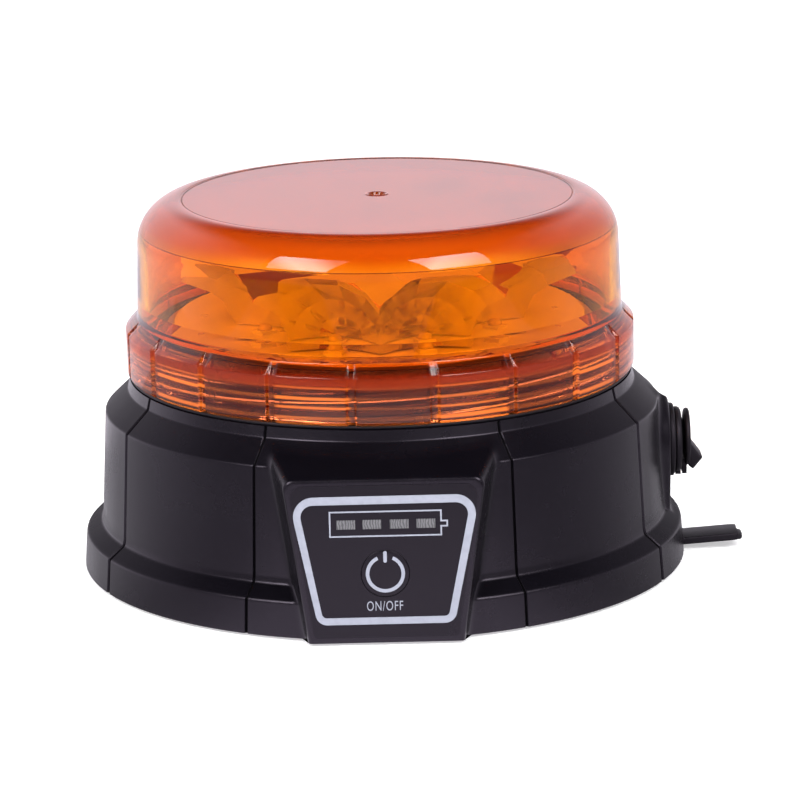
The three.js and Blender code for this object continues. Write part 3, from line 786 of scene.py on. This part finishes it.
# Outside of the dome from the collar's lower edge to the top centre: (radius, height).
shoulder_angles = np.radians(np.linspace(2, 84, 22))
dome_outside = fillet(
    [(66.2, COLLAR_Z), (66.9, 52.5), (66.95, 63.95), (63.98, 66.95), (63.8, 68.0), (63.15, 86.0)],
    [0, 0.3, 0.4, 0.45, 0.8, 0], 5)
dome_outside += [(51.9 + 11.25 * math.cos(t), 86.4 + 11.2 * math.sin(t)) for t in shoulder_angles]
dome_outside += fillet(
    [(52.6, 97.55), (51.85, 97.56), (51.72, 97.45), (51.35, 97.44), (51.15, 97.14),
     (50.95, 97.42), (40, 97.42), (20, 97.42), (6, 97.42), (4.2, 97.42), (3.2, 97.42),
     (2.7, 97.6), (2.2, 97.5), (1.9, 96.85), (1.2, 96.8), (0.8, 97.2), (0, 97.25)],
    [0, 0.05, 0.05, 0, 0, 0, 0, 0, 0, 0, 0.1, 0.15, 0.12, 0.12, 0.1, 0.15, 0], 3)

# Inside from the top centre down to the collar's lower edge: (radius, height).
round_angles = np.radians([*np.linspace(88, 23, 13), 18.3, 16.9, 12, 6, 0])
dome_inside = [(0, 95.15), (30, 95.15)]
dome_inside += [(ROUND_R + ROUND_A * math.cos(t), ROUND_Z + ROUND_B * math.sin(t))
                for t in round_angles]
dome_inside += fillet([(60.95, 84), (61.1, 71.5), (61.7, 68.3), (COLLAR_INNER_R, 65.4)],
                      [0, 0.8, 0.8, 0], 4)
dome_inside += [(COLLAR_INNER_R, z) for z in (*np.arange(65.1, 61.2, -0.6),
                                              *np.arange(61.0, COLLAR_Z + 0.25, -0.22),
                                              COLLAR_Z + 0.15)]
dome_inside.append((64.5, COLLAR_Z))


def dome_azimuths():
    offsets = [0, 0.2, 0.4, 0.56, 0.7, 0.82, 0.96, 1.15, 1.6, 2.6, 3.8, 5.1, 6.4, 7.7]
    offsets = [-v for v in offsets] + offsets + [FLUTE_STEP / 2]
    lines = [FLUTE_START + FLUTE_STEP * k + v for k in range(FLUTES) for v in offsets]
    return np.array(sorted(set(round(v % 360, 4) for v in lines)))


def build_dome():
    lines = dome_azimuths()
    count = len(lines)
    half_step = FLUTE_STEP / 2
    away = np.abs((lines - FLUTE_START + half_step) % FLUTE_STEP - half_step) * math.pi / 180 * 67
    flute = np.clip((1.30 - away) / 0.55, 0, 1)
    flute = flute * flute * (3 - 2 * flute)
    theta = np.radians(lines) - math.pi / 2     # azimuth from -Y to the usual angle from +X
    turn = np.degrees(theta) % 120
    outside, inside = dome_outside[:-1], dome_inside[1:]     # without the two centres
    rows = []
    for i, (profile_r, z) in enumerate(outside + inside):
        radius = np.full(count, profile_r)
        if i < len(outside):
            if profile_r > 64.5:
                radius = radius - 1.15 * np.clip((66.9 - z) / 1.4, 0, 1) * flute
        elif z < 65.3:
            ridge = np.zeros(count)
            for k in range(-2, 4):
                ridge_z = (THREAD_Z - 2.1 + THREAD_LEAD * turn / 360
                           + THREAD_LEAD / THREAD_STARTS * k)
                reach = np.clip(np.abs(z - ridge_z) / 1.5, 0, 1)
                ridge = np.maximum(ridge, 0.5 + 0.5 * np.cos(np.pi * reach))
            fade = np.clip((z - 51.9) / 0.5, 0, 1) * np.clip((60.6 - z) / 1.2, 0, 1)
            radius = radius - 0.85 * ridge * fade
        rows.append(np.stack([radius * np.cos(theta), radius * np.sin(theta),
                              np.full(count, z)], 1))
    faces = grid_faces(len(outside), count)
    start = len(outside) * count        # first vertex of the inside
    faces += [tuple(i + start for i in face) for face in grid_faces(len(inside), count)]
    last = (len(rows) - 1) * count
    for j in range(count):
        j2 = (j + 1) % count
        faces.append((last + j, last + j2, j2, j))
    top = len(rows) * count
    rows.append([(0, 0, dome_outside[-1][1]), (0, 0, dome_inside[0][1])])
    for j in range(count):
        j2 = (j + 1) % count
        faces.append((top, start - count + j, start - count + j2))
        faces.append((top + 1, start + j2, start + j))
    dome = make("dome_clear", (np.concatenate(rows), faces), "lens_amber", body="lens",
                stands_for=("lens_dome",), sharp=50)
    # the inside of the top and its round are frosted; a thin band at the frost's lower edge takes
    # a
    #     painted dark line, a painted shade where the inner round begins; the collar's inside
    #     carries the thread
    add_looks(dome, "lens_amber_frost", "lens_amber_painted_line", "lens_amber_thread")
    inside_faces = range(start - count, last - count)
    for face in dome.data.polygons:
        radius, _, z = face_place(face)
        if radius < 50:
            frosted = 88.7 < z < 96
        else:
            off_round = math.hypot((radius - ROUND_R) / ROUND_A, (z - ROUND_Z) / ROUND_B)
            frosted = z > 88.7 and radius < 61.1 and off_round < 1.06
        if frosted:
            # the band below 89.16 takes the painted dark line
            face.material_index = 2 if z < 89.16 else 1
        elif face.index in inside_faces and z < 64.6:
            face.material_index = 3


build_dome()

gasket = fillet([(64.2, 51.3), (64.25, 50.9), (66.0, 50.9), (66.2, 51.15), (66.2, 51.45),
                 (66.0, 51.7), (64.25, 51.7), (64.2, 51.3)], 0.1, 2)[:-1]
make("gasket_ring", turned(gasket, 160), "rubber_black", body="lens_seal",
     stands_for=("lens_gasket",))

# ------------------------------------------------------------------ light engine
CELLS = 10
CELL_STEP = 360 // CELLS
CELL_ANGLES = [-90 + CELL_STEP // 2 + CELL_STEP * k for k in range(CELLS)]    # from +X
CELL_FOCUS = 5.78
CELL_VERTEX_R = 30.8                    # radius of each bowl's deepest point
CELL_FACE_R = 50.8                      # radius of the crown's flats
CELL_HALF_WIDTH = CELL_FACE_R * math.tan(math.radians(CELL_STEP / 2))


def bowl(angle, segments=14, rings=4):
    """Solid paraboloid that cuts one cell, opening outwards at this angle."""
    open_x = CELL_FACE_R + 3
    open_r = math.sqrt(4 * CELL_FOCUS * (open_x - CELL_VERTEX_R))
    verts, faces = [(CELL_VERTEX_R, 0, CELL_Z)], []
    for i in range(1, rings + 1):
        radius = open_r * (i / rings)
        x = CELL_VERTEX_R + radius * radius / (4 * CELL_FOCUS)
        for j in range(segments):
            turn = TAU * j / segments
            verts.append((x, radius * math.cos(turn), CELL_Z + radius * math.sin(turn)))
    verts.append((open_x, 0, CELL_Z))
    rim = 1 + (rings - 1) * segments
    for j in range(segments):
        j2 = (j + 1) % segments
        faces.append((0, 1 + j, 1 + j2))
        faces.append((len(verts) - 1, rim + j2, rim + j))
        for i in range(rings - 1):
            inner, outer = 1 + i * segments, 1 + (i + 1) * segments
            faces.append((inner + j, outer + j, outer + j2, inner + j2))
    verts = np.array(verts)
    # uneven facets: each corner a little in or out of the true curve
    shake = np.random.default_rng(angle + 400).uniform(-0.28, 0.28, len(verts) - 2)
    verts[1:-1, 0] += shake
    return spun((verts, faces), angle)


def build_reflector():
    corner_r = CELL_FACE_R / math.cos(math.radians(CELL_STEP / 2))
    corners = [math.radians(CELL_STEP * (k + 0.5)) for k in range(CELLS)]
    verts, faces = prism([(corner_r * math.cos(a), corner_r * math.sin(a)) for a in corners],
                         CELL_Z, CELL_TOP)
    cuts = []
    for angle in CELL_ANGLES:
        cuts.append(bowl(angle))
        # V-shaped valley between this cell and the next
        cuts.append(spun(prism([(CELL_HALF_WIDTH - 7.4, CELL_TOP + 1),
                                (CELL_HALF_WIDTH + 7.4, CELL_TOP + 1),
                                (CELL_HALF_WIDTH + 0.001, 79.4)], 27, 60), angle))
    cuts.append(cylinder(26, CELL_Z - 1, CELL_TOP - 2, 48))
    cuts.append(cylinder(2.4, 60, 92, 24))
    cells = finish("reflector_cells", cut_away((verts[:, [1, 2, 0]], faces), cuts),
                   "reflector_metallised", stands_for=("reflector",), sharp=3)
    # only the bowls, and the upper faces near one web, are bright metal
    add_looks(cells, "reflector_satin")
    for face in cells.data.polygons:
        radius, angle, z = face_place(face)
        from_cell = math.radians((angle + 90) % CELL_STEP - CELL_STEP // 2)
        along, across = radius * math.cos(from_cell), radius * math.sin(from_cell)
        bowl_x = CELL_VERTEX_R + (across * across + (z - CELL_Z) ** 2) / (4 * CELL_FOCUS)
        in_bowl = abs(along - bowl_x) < 1.1 and z < CELL_TOP - 0.2 and abs(face.normal.z) < 0.999
        near_web = abs((angle + 126 + 180) % 360 - 180) < 10 and z > 79
        face.material_index = 0 if in_bowl or near_web else 1


def build_led(number, angle):
    def placed(mesh):
        return spun(moved(mesh, x=CELL_VERTEX_R + CELL_FOCUS), angle)

    top = BOARD_TOP + 0.9               # top of the package
    lens = turned(fillet([(0, top), (1.9, top), (1.85, BOARD_TOP + 1.3), (1.55, BOARD_TOP + 2.0),
                          (0.9, BOARD_TOP + 2.35), (0, BOARD_TOP + 2.42)], 0.25, 3), 28)
    package = prism([(-2.3, BOARD_TOP), (2.3, BOARD_TOP), (2.3, BOARD_TOP + 0.75), (2.15, top),
                     (-2.15, top), (-2.3, BOARD_TOP + 0.75)], -2.3, 2.3)
    tabs = block(-1.2, 1.2, -2.9, 2.9, BOARD_TOP, BOARD_TOP + 0.12)
    make(f"led_body_{number}", join([placed(package), placed(tabs)]), "board_white",
         stands_for=(f"led_{number}",), sharp=30)
    pads = [placed(block(*sides, BOARD_TOP - 0.01, BOARD_TOP + 0.09))
            for sides in ((-4.9, -3.6, 1.2, 2.4), (9.0, 10.6, -1.0, 1.0))]
    make(f"led_pads_{number}", join(pads), "led_phosphor", sharp=30)
    make(f"led_lens_{number}", placed(lens), "led_phosphor")


build_reflector()
for number, angle in enumerate(CELL_ANGLES, 1):
    build_led(number, angle)

board = fillet([(5.2, 63.9), (54.0, 63.9), (54.2, 64.1), (54.2, 65.4), (54.0, BOARD_TOP),
                (5.2, BOARD_TOP)], 0.05, 1)
make("board_disc", turned(board, 128), "board_white", stands_for=("led_board",))
sink = fillet([(6.5, 60.1), (57.0, 60.1), (57.4, 60.5), (57.4, 63.2), (57.0, 63.6), (6.5, 63.6)],
              0.1, 2)
make("sink_plate", turned(sink, 128), "aluminium_plain", stands_for=("heat_sink",))

# ------------------------------------------------------------------ control panel
# Outlines are (x, z).
WINDOW_XS = (-9.45, -3.05, 3.65, 10.2)
WINDOW_Z = 31.0
WINDOW_HALF_WIDTH, WINDOW_HALF_HEIGHT = 2.3, 1.2
BUTTON_HOLE_R = 6.06
INK = 0.06                              # thickness of the print
INK_Y = PANEL_Y - 0.155

film = round_poly([(-17.9, 2.0), (17.9, 2.0), (23.4, 40.9), (-23.4, 40.9)], [1.0, 1.0, 3.2, 3.2])
button_hole = [(BUTTON_HOLE_R * math.cos(TAU * k / 72),
                BUTTON_Z + BUTTON_HOLE_R * math.sin(TAU * k / 72)) for k in range(72)]
windows = [[(x + side * WINDOW_HALF_WIDTH, WINDOW_Z + rise * WINDOW_HALF_HEIGHT)
            for side, rise in ((-1, -1), (1, -1), (1, 1), (-1, 1))] for x in WINDOW_XS]
make("film_sheet", on_front(plate([film, button_hole] + windows, 0.3), PANEL_Y + 0.02),
     "film_black", stands_for=("control_film",), sharp=30)
for i, window in enumerate(windows):
    make(f"gauge_window_{i + 1}",
         on_front(plate([round_poly(window, 0.12, 2)], 0.2), PANEL_Y + 0.06), "guide_clear",
         stands_for=() if i else ("gauge_light_guide",), sharp=30)


def ink(name, mesh, y=INK_Y, body="base"):
    make(name, on_front(mesh, y), "film_black", body=body, look="print_white", sharp=30)


def battery(inset):
    """Outline of the battery sign, its terminal at the right."""
    left, right, tip = -13.55 + inset, 14.1 - inset, 15.6 - inset
    bottom, top = 27.85 + inset, 34.45 - inset
    tip_low, tip_high = 30.1 + inset, 31.8 - inset
    return [(left, bottom), (right, bottom), (right, tip_low), (tip, tip_low), (tip, tip_high),
            (right, tip_high), (right, top), (left, top)]


ink("print_frame", plate([
    round_poly([(-16.9, 5.4), (16.9, 5.4), (23.6, 38.25), (-23.4, 38.15)],
               [3.0, 3.0, 5.0, 5.0], 12),
    round_poly([(-15.65, 7.2), (15.45, 7.2), (21.2, 36.2), (-21.1, 36.1)],
               [1.3, 1.3, 3.0, 3.0], 12)], INK))
ink("print_battery", plate([battery(0), battery(0.38)], INK))

# Button from its back to its domed face: (radius, distance towards -Y).
button = fillet([(0, -BUTTON_BACK_Y), (7.0, -BUTTON_BACK_Y), (7.0, 78.9), (5.98, 78.9),
                 (5.97, 81.8), (5.82, 81.95), (5.2, 82.02), (0, 82.06)],
                [0, 0, 0, 0, 0.05, 0.1, 0.5, 0], 4)
make("button_dome", moved(turned(button, 72, axis="-y"), z=BUTTON_Z), "film_black",
     body="button", stands_for=("power_button",), sharp=50)


def button_arc(radius, start=115, end=425, steps=56):
    angles = [math.radians(start + (end - start) * k / steps) for k in range(steps + 1)]
    return [(radius * math.cos(a), BUTTON_Z + radius * math.sin(a)) for a in angles]


ink("print_power_ring", plate([button_arc(4.82) + button_arc(3.95)[::-1]], 0.12), -82.04,
    "button")
stem_low, stem_high = BUTTON_Z + 2.85, BUTTON_Z + 5.75
ink("print_power_stem", plate([round_poly([(-0.44, stem_low), (0.44, stem_low),
                                           (0.44, stem_high), (-0.44, stem_high)], 0.4, 5)],
                              0.12), -82.02, "button")


def on_off_text(width=8.9, height=2.45, middle_x=-0.25, foot_z=8.9):
    text = bpy.data.curves.new("t", "FONT")
    text.body = "ON/OFF"
    text.size, text.align_x, text.space_character = 3.35, "CENTER", 1.13
    text.extrude, text.resolution_u, text.offset = INK / 2, 6, -0.01
    verts, faces = curve_mesh(text)
    left, right = verts[:, 0].min(), verts[:, 0].max()
    verts[:, 0] = (verts[:, 0] - (right + left) / 2) * (width / (right - left)) + middle_x
    bottom, top = verts[:, 1].min(), verts[:, 1].max()
    verts[:, 1] = (verts[:, 1] - bottom) * (height / (top - bottom)) + foot_z
    return verts, faces


ink("print_on_off", on_off_text())

# ------------------------------------------------------------------ charging socket and cap
# Profiles turned about the X direction: (radius, x).
LID_Z = SOCKET_Z + 0.7


def turned_x(profile, segments, z):
    return moved(turned(profile, segments, axis="x"), z=z)


socket = fillet([(0, 58), (6.2, 58), (6.2, 75.7), (9.4, 75.9), (9.75, 76.3), (9.75, 77.1),
                 (9.45, 77.5), (6.4, 77.55), (6.3, 79.2), (4.2, 79.2), (4.2, 66), (0, 66)],
                [0, 0.1, 0.1, 0.2, 0.3, 0.3, 0.3, 0.1, 0.2, 0.2, 0, 0], 4)
make("socket_flange", turned_x(socket, 80, SOCKET_Z), "nylon_dark", look="rubber_black",
     stands_for=("charge_socket",), sharp=35)
retainer = fillet([(6.75, 77.65), (8.5, 77.65), (8.75, 78.0), (8.7, 78.6), (8.45, 79.1),
                   (7.9, 79.4), (6.75, 79.42)], [0, 0.2, 0.3, 0.3, 0.3, 0.3, 0], 4)
lug = prism([(-2.6, 20.25), (2.6, 20.25), (2.2, 21.7), (-2.2, 21.7)], 77.9, 79.3)
make("retainer_ring", join([turned_x(retainer, 80, SOCKET_Z), lug]), "rubber_black",
     stands_for=("cap_retainer",), sharp=35)


def finger_pull():
    """Wedge that stands out of the lower half of the lid, with rounded edges."""
    outline = round_poly([(81.3, 29.6), (81.75, 29.4), (85.1, 24.9), (82.5, 21.75), (81.3, 22.7)],
                         [0.1, 0.3, 0.35, 0.35, 0.2], 4)      # (x, z)
    middle_x, middle_z = 81.3, 25.6
    # (y, size of the section)
    stations = ((-4.2, 0.72), (-3.9, 0.9), (-3.2, 1.0), (3.2, 1.0), (3.9, 0.9), (4.2, 0.72))
    count = len(outline)
    verts = [(middle_x + (x - middle_x) * size, y, middle_z + (z - middle_z) * size)
             for y, size in stations for x, z in outline]
    faces = []
    for i in range(len(stations) - 1):
        for j in range(count):
            j2 = (j + 1) % count
            faces.append((i * count + j, (i + 1) * count + j, (i + 1) * count + j2,
                          i * count + j2))
    faces.append(tuple(range(count)))
    faces.append(tuple((len(stations) - 1) * count + j for j in range(count))[::-1])
    return np.array(verts), faces


lid = fillet([(0, 79.55), (4.4, 79.55), (5.0, 80.25), (7.2, 80.3), (7.6, 80.65), (7.6, 81.3),
              (7.25, 81.62), (0, 81.72)], [0, 0.3, 0.3, 0.3, 0.35, 0.35, 0.35, 0], 4)
plug = fillet([(0, 76.4), (2.8, 76.4), (3.35, 77.2), (3.35, 79.9), (0, 79.9)],
              [0, 0.4, 0.3, 0, 0], 4)
strap = prism([(-2.4, 20.35), (2.4, 20.35), (2.8, 24.5), (-2.8, 24.5)], 79.72, 80.9)
make("cap_disc",
     join([turned_x(lid, 80, LID_Z), turned_x(plug, 48, SOCKET_Z), finger_pull(), strap]),
     "rubber_black", body="cap", stands_for=("cap_lid",), sharp=35)


# ------------------------------------------------------------------ lift tab
def lift_tab(root_x=78.8, fine_x=91.2, tip_x=95.75, half_thick=1.0, section_points=20):
    """Flat tab that rises outwards along +X, round at the tip, with a step down near it."""
    stations = np.concatenate([np.linspace(root_x, fine_x, 8),
                               np.linspace(fine_x, tip_x, 22)[1:]])
    verts = []
    for x in stations:
        rounding = max(0.0, x - 92.6) / 3.15
        half_width = TAB_HALF_WIDTH - 2.8 * (1 - math.sqrt(max(0, 1 - rounding * rounding)))
        half_width = max(half_width, 1.4)
        step = np.clip((x - 94.55) / 0.5, 0, 1)
        middle = 2.1 + (x - root_x) * math.tan(math.radians(3.8))
        top = middle + half_thick - 1.15 * step * (3 - 2 * step)
        bottom = middle - half_thick - 0.15 * step
        half_height = (top - bottom) / 2
        edge_r = min(0.45, half_height * 0.9)
        for k in range(section_points):
            angle = TAU * (k + 0.5) / section_points
            cos, sin = math.cos(angle), math.sin(angle)
            verts.append((x, np.sign(cos) * (half_width - edge_r) + edge_r * cos,
                          (top + bottom) / 2 + np.sign(sin) * (half_height - edge_r)
                          + edge_r * sin))
    return np.array(verts), loft_faces(len(stations), section_points)


make("peel_tab", lift_tab(), "rubber_black", body="tab", stands_for=("lift_tab",), sharp=35)


# ------------------------------------------------------------------ underside
def ring_places(radius, angles):
    return [(radius * math.cos(math.radians(a)), radius * math.sin(math.radians(a)))
            for a in angles]


MAGNETS = ring_places(42, (90, 210, 330))
SCREWS = ring_places(67, (45, 135, 225, 315))
POCKET_R = 18.3                         # magnet openings in the cover

cover = fillet(
    [(0, 0.02), (9.6, 0.02), (10.1, 0.5), (10.2, 1.2), (24.0, 1.2), (24.4, 1.7), (25.4, 1.7),
     (25.8, 1.2), (63.2, 1.2), (63.5, 1.6), (64.3, 1.6), (64.6, 1.2), (70.6, 1.2), (70.9, 2.0),
     (76.4, 2.0), (76.8, 2.3), (76.8, 4.6), (0, 4.6)],
    [0, 0.3, 0.3, 0.2] + [0.15] * 12 + [0.1, 0], 3)
openings = [moved(cylinder(POCKET_R, -1, 6.6, 72), x, y) for x, y in MAGNETS]
openings += [moved(cylinder(3.7, -1, 3.4, 40), x, y) for x, y in SCREWS]
openings.append(block(64.2, 80, -5.4, 5.4, -1, 3.4))         # for the root of the lift tab
finish("cover_plate", cut_away(turned(cover, 144), openings), "housing_black",
       stands_for=("base_cover",), sharp=30)
cup = turned([(POCKET_R, 4.0), (POCKET_R, 8.1), (2.25, 8.1), (2.25, 10.3), (20.0, 10.3),
              (20.4, 9.9), (20.4, 4.0)], 72)
make("cover_cups", join([moved(cup, x, y) for x, y in MAGNETS]), "housing_black", sharp=30)

foot = fillet([(71.5, 2.0), (71.5, 0.35), (71.85, 0.0), (73.2, 0.0), (73.5, 0.35), (74.2, 0.35),
               (74.5, 0.0), (75.85, 0.0), (76.2, 0.35), (76.2, 1.95)],
              [0, 0.1, 0.2, 0.15, 0.15, 0.15, 0.15, 0.2, 0.1, 0], 3)
tab_root = block(64.6, 78.2, -TAB_HALF_WIDTH, TAB_HALF_WIDTH, 0.6, 3.0)
make("foot_rubber", join([turned(foot, 180), tab_root]), "rubber_black",
     stands_for=("foot_ring",), sharp=30)
boot = turned(fillet(
    [(0, 0.25), (3.0, 0.25), (3.3, 0.0), (9.8, 0.0), (10.1, 0.3), (10.9, 0.3), (11.2, 0.0),
     (16.9, 0.0), (17.8, 0.9), (17.8, 7.8), (16.7, 7.8), (16.7, 1.0), (0, 1.0)],
    [0, 0.1, 0.1, 0.1, 0.1, 0.1, 0.1, 0.8, 0.8, 0.2, 0.1, 0, 0], 3), 96)
for i, (x, y) in enumerate(MAGNETS, 1):
    make(f"boot_{i}", moved(boot, x, y), "rubber_black", stands_for=(f"magnet_boot_{i}",),
         sharp=30)

screw = turned(fillet([(0, 1.3), (2.6, 1.3), (3.15, 1.75), (3.2, 3.3), (1.5, 3.3), (1.5, 13.4),
                       (0, 14.2)], [0, 0.4, 0.5, 0, 0, 0, 0], 4), 40)
cross_arm = prism([(-0.42, 0), (0.42, 0), (0.3, 2.5), (-0.3, 2.5)], -1.9, 1.9)
for i, (x, y) in enumerate(SCREWS, 1):
    data = cut_away(screw, [cross_arm, spun(cross_arm, 90)])
    data.transform(Matrix.Translation((x * MM, y * MM, 0)))
    finish(f"screw_head_{i}", data, "steel_plated", stands_for=(f"cover_screw_{i}",), sharp=30)

# ------------------------------------------------------------------ stage (metres from here on)
scene = bpy.context.scene
scene.view_settings.view_transform = "Standard"
scene.view_settings.look = "None"


def stage_sheet(name, corners, material):
    data = bpy.data.meshes.new(name)
    data.from_pydata(corners, [], [(0, 1, 2, 3)])
    sheet = bpy.data.objects.new(name, data)
    scene.collection.objects.link(sheet)
    data.materials.append(material)
    return sheet


def only_mirrored(sheet):
    """Lets none but mirror rays meet the sheet."""
    sheet.visible_camera = sheet.visible_diffuse = False
    sheet.visible_shadow = sheet.visible_transmission = False


def floor_pale():
    """Pale floor that glows to the camera, more with distance, and is clear from below."""
    graph = new_material("floor_pale")
    shade = graph.ramp(graph.noise(graph.coords(), 3.0), (0.3, (0.90, 0.90, 0.905)),
                       (0.7, (0.92, 0.92, 0.92)))
    from_camera = graph.add("LightPath", "Is Camera Ray")
    distance = graph.add("VectorMath", "Value", operation="LENGTH")
    graph.fill(distance.node.inputs[0], graph.coords())
    glow = graph.math("MULTIPLY", from_camera, graph.span(distance, 0.4, 2.2, 0.42, 1.2))
    top = graph.add("BsdfPrincipled", Base_Color=shade, Roughness=0.75,
                    Emission_Color=(1, 1, 1, 1), Emission_Strength=glow)
    below = graph.math("MULTIPLY", graph.add("NewGeometry", "Backfacing"), from_camera)
    clear = graph.add("BsdfTransparent", Color=(1, 1, 1, 1))
    return graph.surface(graph.mix(below, top, clear))


FLOOR_HALF, FLOOR_Z = 6.0, -0.0002
floor = stage_sheet("floor", [(x * FLOOR_HALF, y * FLOOR_HALF, FLOOR_Z)
                              for x, y in ((-1, -1), (1, -1), (1, 1), (-1, 1))], floor_pale())
floor.visible_glossy = False


# ------------------------------------------------------------------ world
def build_world():
    """Room light: bright low behind and at the sides, dim overhead and behind the camera."""
    world = bpy.data.worlds.new("w")
    scene.world = world
    graph = Graph(world, "OutputWorld")
    x, y, z = graph.node("SeparateXYZ", Vector=graph.add("TexCoord", "Generated")).outputs

    def smooth(value, *limits):
        return graph.span(value, *limits, interpolation_type="SMOOTHSTEP")

    room = smooth(y, -0.28, 0.65, 0.26, 1.14)
    # the overhead dark is narrow: the light comes higher up at the two sides
    raised = smooth(graph.math("ABSOLUTE", x), 0.15, 0.6, 0.0, 0.33)
    overhead = smooth(graph.math("SUBTRACT", z, raised), 0.22, 0.58, 1.0, 0.02)
    # below the horizon: a table dark in front and bright behind
    table = smooth(y, -0.45, 0.5, 0.16, 1.0)
    above_table = graph.span(z, -0.02, 0.03)
    around = graph.add("Mix", Factor=above_table, A=table, B=room)
    light = graph.math("MULTIPLY", around, overhead)
    # mirror rays see the right-hand side dimmer than the left
    dimmer_right = smooth(x, 0.15, 0.75, 1.0, 0.62)
    path = graph.node("LightPath").outputs
    mirror = graph.math("SUBTRACT", path["Is Glossy Ray"], path["Is Transmission Ray"])
    mirror.node.use_clamp = True
    side = graph.add("Mix", Factor=mirror, A=1.0, B=dimmer_right)
    # the camera sees a white wall straight behind everything
    strength = graph.add("Mix", Factor=path["Is Camera Ray"],
                         A=graph.math("MULTIPLY", light, side), B=1.15)
    graph.surface(graph.add("Background", Color=(1.0, 0.945, 1.05, 1), Strength=strength))


build_world()


# ------------------------------------------------------------------ reflected table
# Brightness round the beacon: (azimuth from -Y towards +X in radians, level).
TABLE_FAN = ((-1.6, 0.52), (-1.3, 0.46), (-1.0, 0.34), (-0.75, 0.46), (-0.45, 0.98), (0, 1.0),
             (0.45, 0.90), (0.75, 0.42), (1.0, 0.28), (1.3, 0.32), (1.6, 0.38))
FAN_END = 1.6


def near_table_glow():
    graph = new_material("near_table_glow")
    place = graph.node("SeparateXYZ", Vector=graph.coords()).outputs
    nearness = graph.span(place["Y"], -0.40, -0.17, 0.05, 1.2)
    turn = graph.span(graph.azimuth(place["X"], place["Y"]), -FAN_END, FAN_END)
    fan = graph.ramp(turn, *(((azimuth + FAN_END) / (2 * FAN_END), level)
                             for azimuth, level in TABLE_FAN))
    return graph.surface(graph.add("Emission", Color=(1.0, 0.96, 1.05, 1),
                                   Strength=graph.math("MULTIPLY", nearness, fan)))


only_mirrored(stage_sheet(
    "near_table", [(x, y, -0.0001) for x, y in ((-0.45, -0.50), (0.45, -0.50), (0.45, 0.12),
                                                (-0.45, 0.12))], near_table_glow()))

# ------------------------------------------------------------------ lights
LIGHT_TARGET = Vector((0, 0, 0.07))
SIDE_AZIMUTH, SIDE_ELEVATION = 40.5, 39


def towards(azimuth, elevation):
    """Unit vector; azimuth from -Y towards +X."""
    turn, rise = math.radians(azimuth), math.radians(elevation)
    return Vector((math.sin(turn) * math.cos(rise), -math.cos(turn) * math.cos(rise),
                   math.sin(rise)))


def soft_box(name, azimuth, elevation, distance, width, height, watts):
    direction = towards(azimuth, elevation)
    light = bpy.data.lights.new(name, "AREA")
    light.shape, light.size, light.size_y, light.energy = "RECTANGLE", width, height, watts
    lamp = bpy.data.objects.new(name, light)
    lamp.location = LIGHT_TARGET + direction * distance
    lamp.rotation_mode = "QUATERNION"
    lamp.rotation_quaternion = direction.to_track_quat("Z", "Y")
    scene.collection.objects.link(lamp)
    return lamp


def soft_cloth(name, azimuth, fade, distance=1.5, half=0.46):
    """Sheet in front of a side soft box that only mirror rays meet: it fades the box's
    reflection. fade: (x, share let through)."""
    direction = towards(azimuth, SIDE_ELEVATION)
    turn = math.radians(azimuth)
    across = Vector((math.cos(turn), math.sin(turn), 0))
    upward = direction.cross(across)
    centre = LIGHT_TARGET + direction * distance
    corners = [tuple(centre + across * (half * i) + upward * (half * j))
               for i, j in ((-1, -1), (1, -1), (1, 1), (-1, 1))]
    graph = new_material(name + "_weave")
    x = graph.node("SeparateXYZ", Vector=graph.coords()).outputs["X"]
    start, end = fade[0][0], fade[-1][0]
    weave = graph.ramp(graph.span(x, start, end),
                       *(((place - start) / (end - start), share) for place, share in fade))
    graph.surface(graph.add("BsdfTransparent", Color=weave))
    only_mirrored(stage_sheet(name, corners, graph.owner))


for name, azimuth, watts in (("soft_left", -SIDE_AZIMUTH, 24), ("soft_right", SIDE_AZIMUTH, 22)):
    soft_box(name, azimuth, SIDE_ELEVATION, distance=1.6, width=0.83, height=0.85, watts=watts)
soft_cloth("cloth_left", -SIDE_AZIMUTH,
           ((-1.07, 0.30), (-0.85, 0.84), (-0.67, 0.70), (-0.44, 0.14)))
soft_cloth("cloth_right", SIDE_AZIMUTH,
           ((0.44, 0.52), (0.62, 0.86), (0.85, 0.64), (1.07, 0.34)))
soft_top = soft_box("soft_top", 180, 75, distance=1.9, width=1.6, height=1.2, watts=14)
soft_top.visible_glossy = False

# ------------------------------------------------------------------ camera
CAMERA_PLACE, CAMERA_TARGET = Vector((0, -0.94795, 0.28033)), Vector((0, 0, 0.05))
# Turns of the aimed camera about its own axes, in degrees. They leave the target left of and
# above the middle of the picture.
CAMERA_TURNS = (("Z", -1.282), ("Y", -0.2983451), ("X", -0.4702453))

lens = bpy.data.cameras.new("cam")
lens.sensor_width, lens.lens = 36, 165.58
lens.clip_start, lens.clip_end = 0.05, 50
camera = bpy.data.objects.new("cam", lens)
scene.collection.objects.link(camera)
aim = (CAMERA_TARGET - CAMERA_PLACE).to_track_quat("-Z", "Y").to_matrix()
for axis, angle in CAMERA_TURNS:
    aim = aim @ Matrix.Rotation(math.radians(angle), 3, axis)
camera.rotation_mode = "QUATERNION"
camera.rotation_quaternion = aim.to_quaternion()
camera.location = CAMERA_PLACE
scene.camera = camera
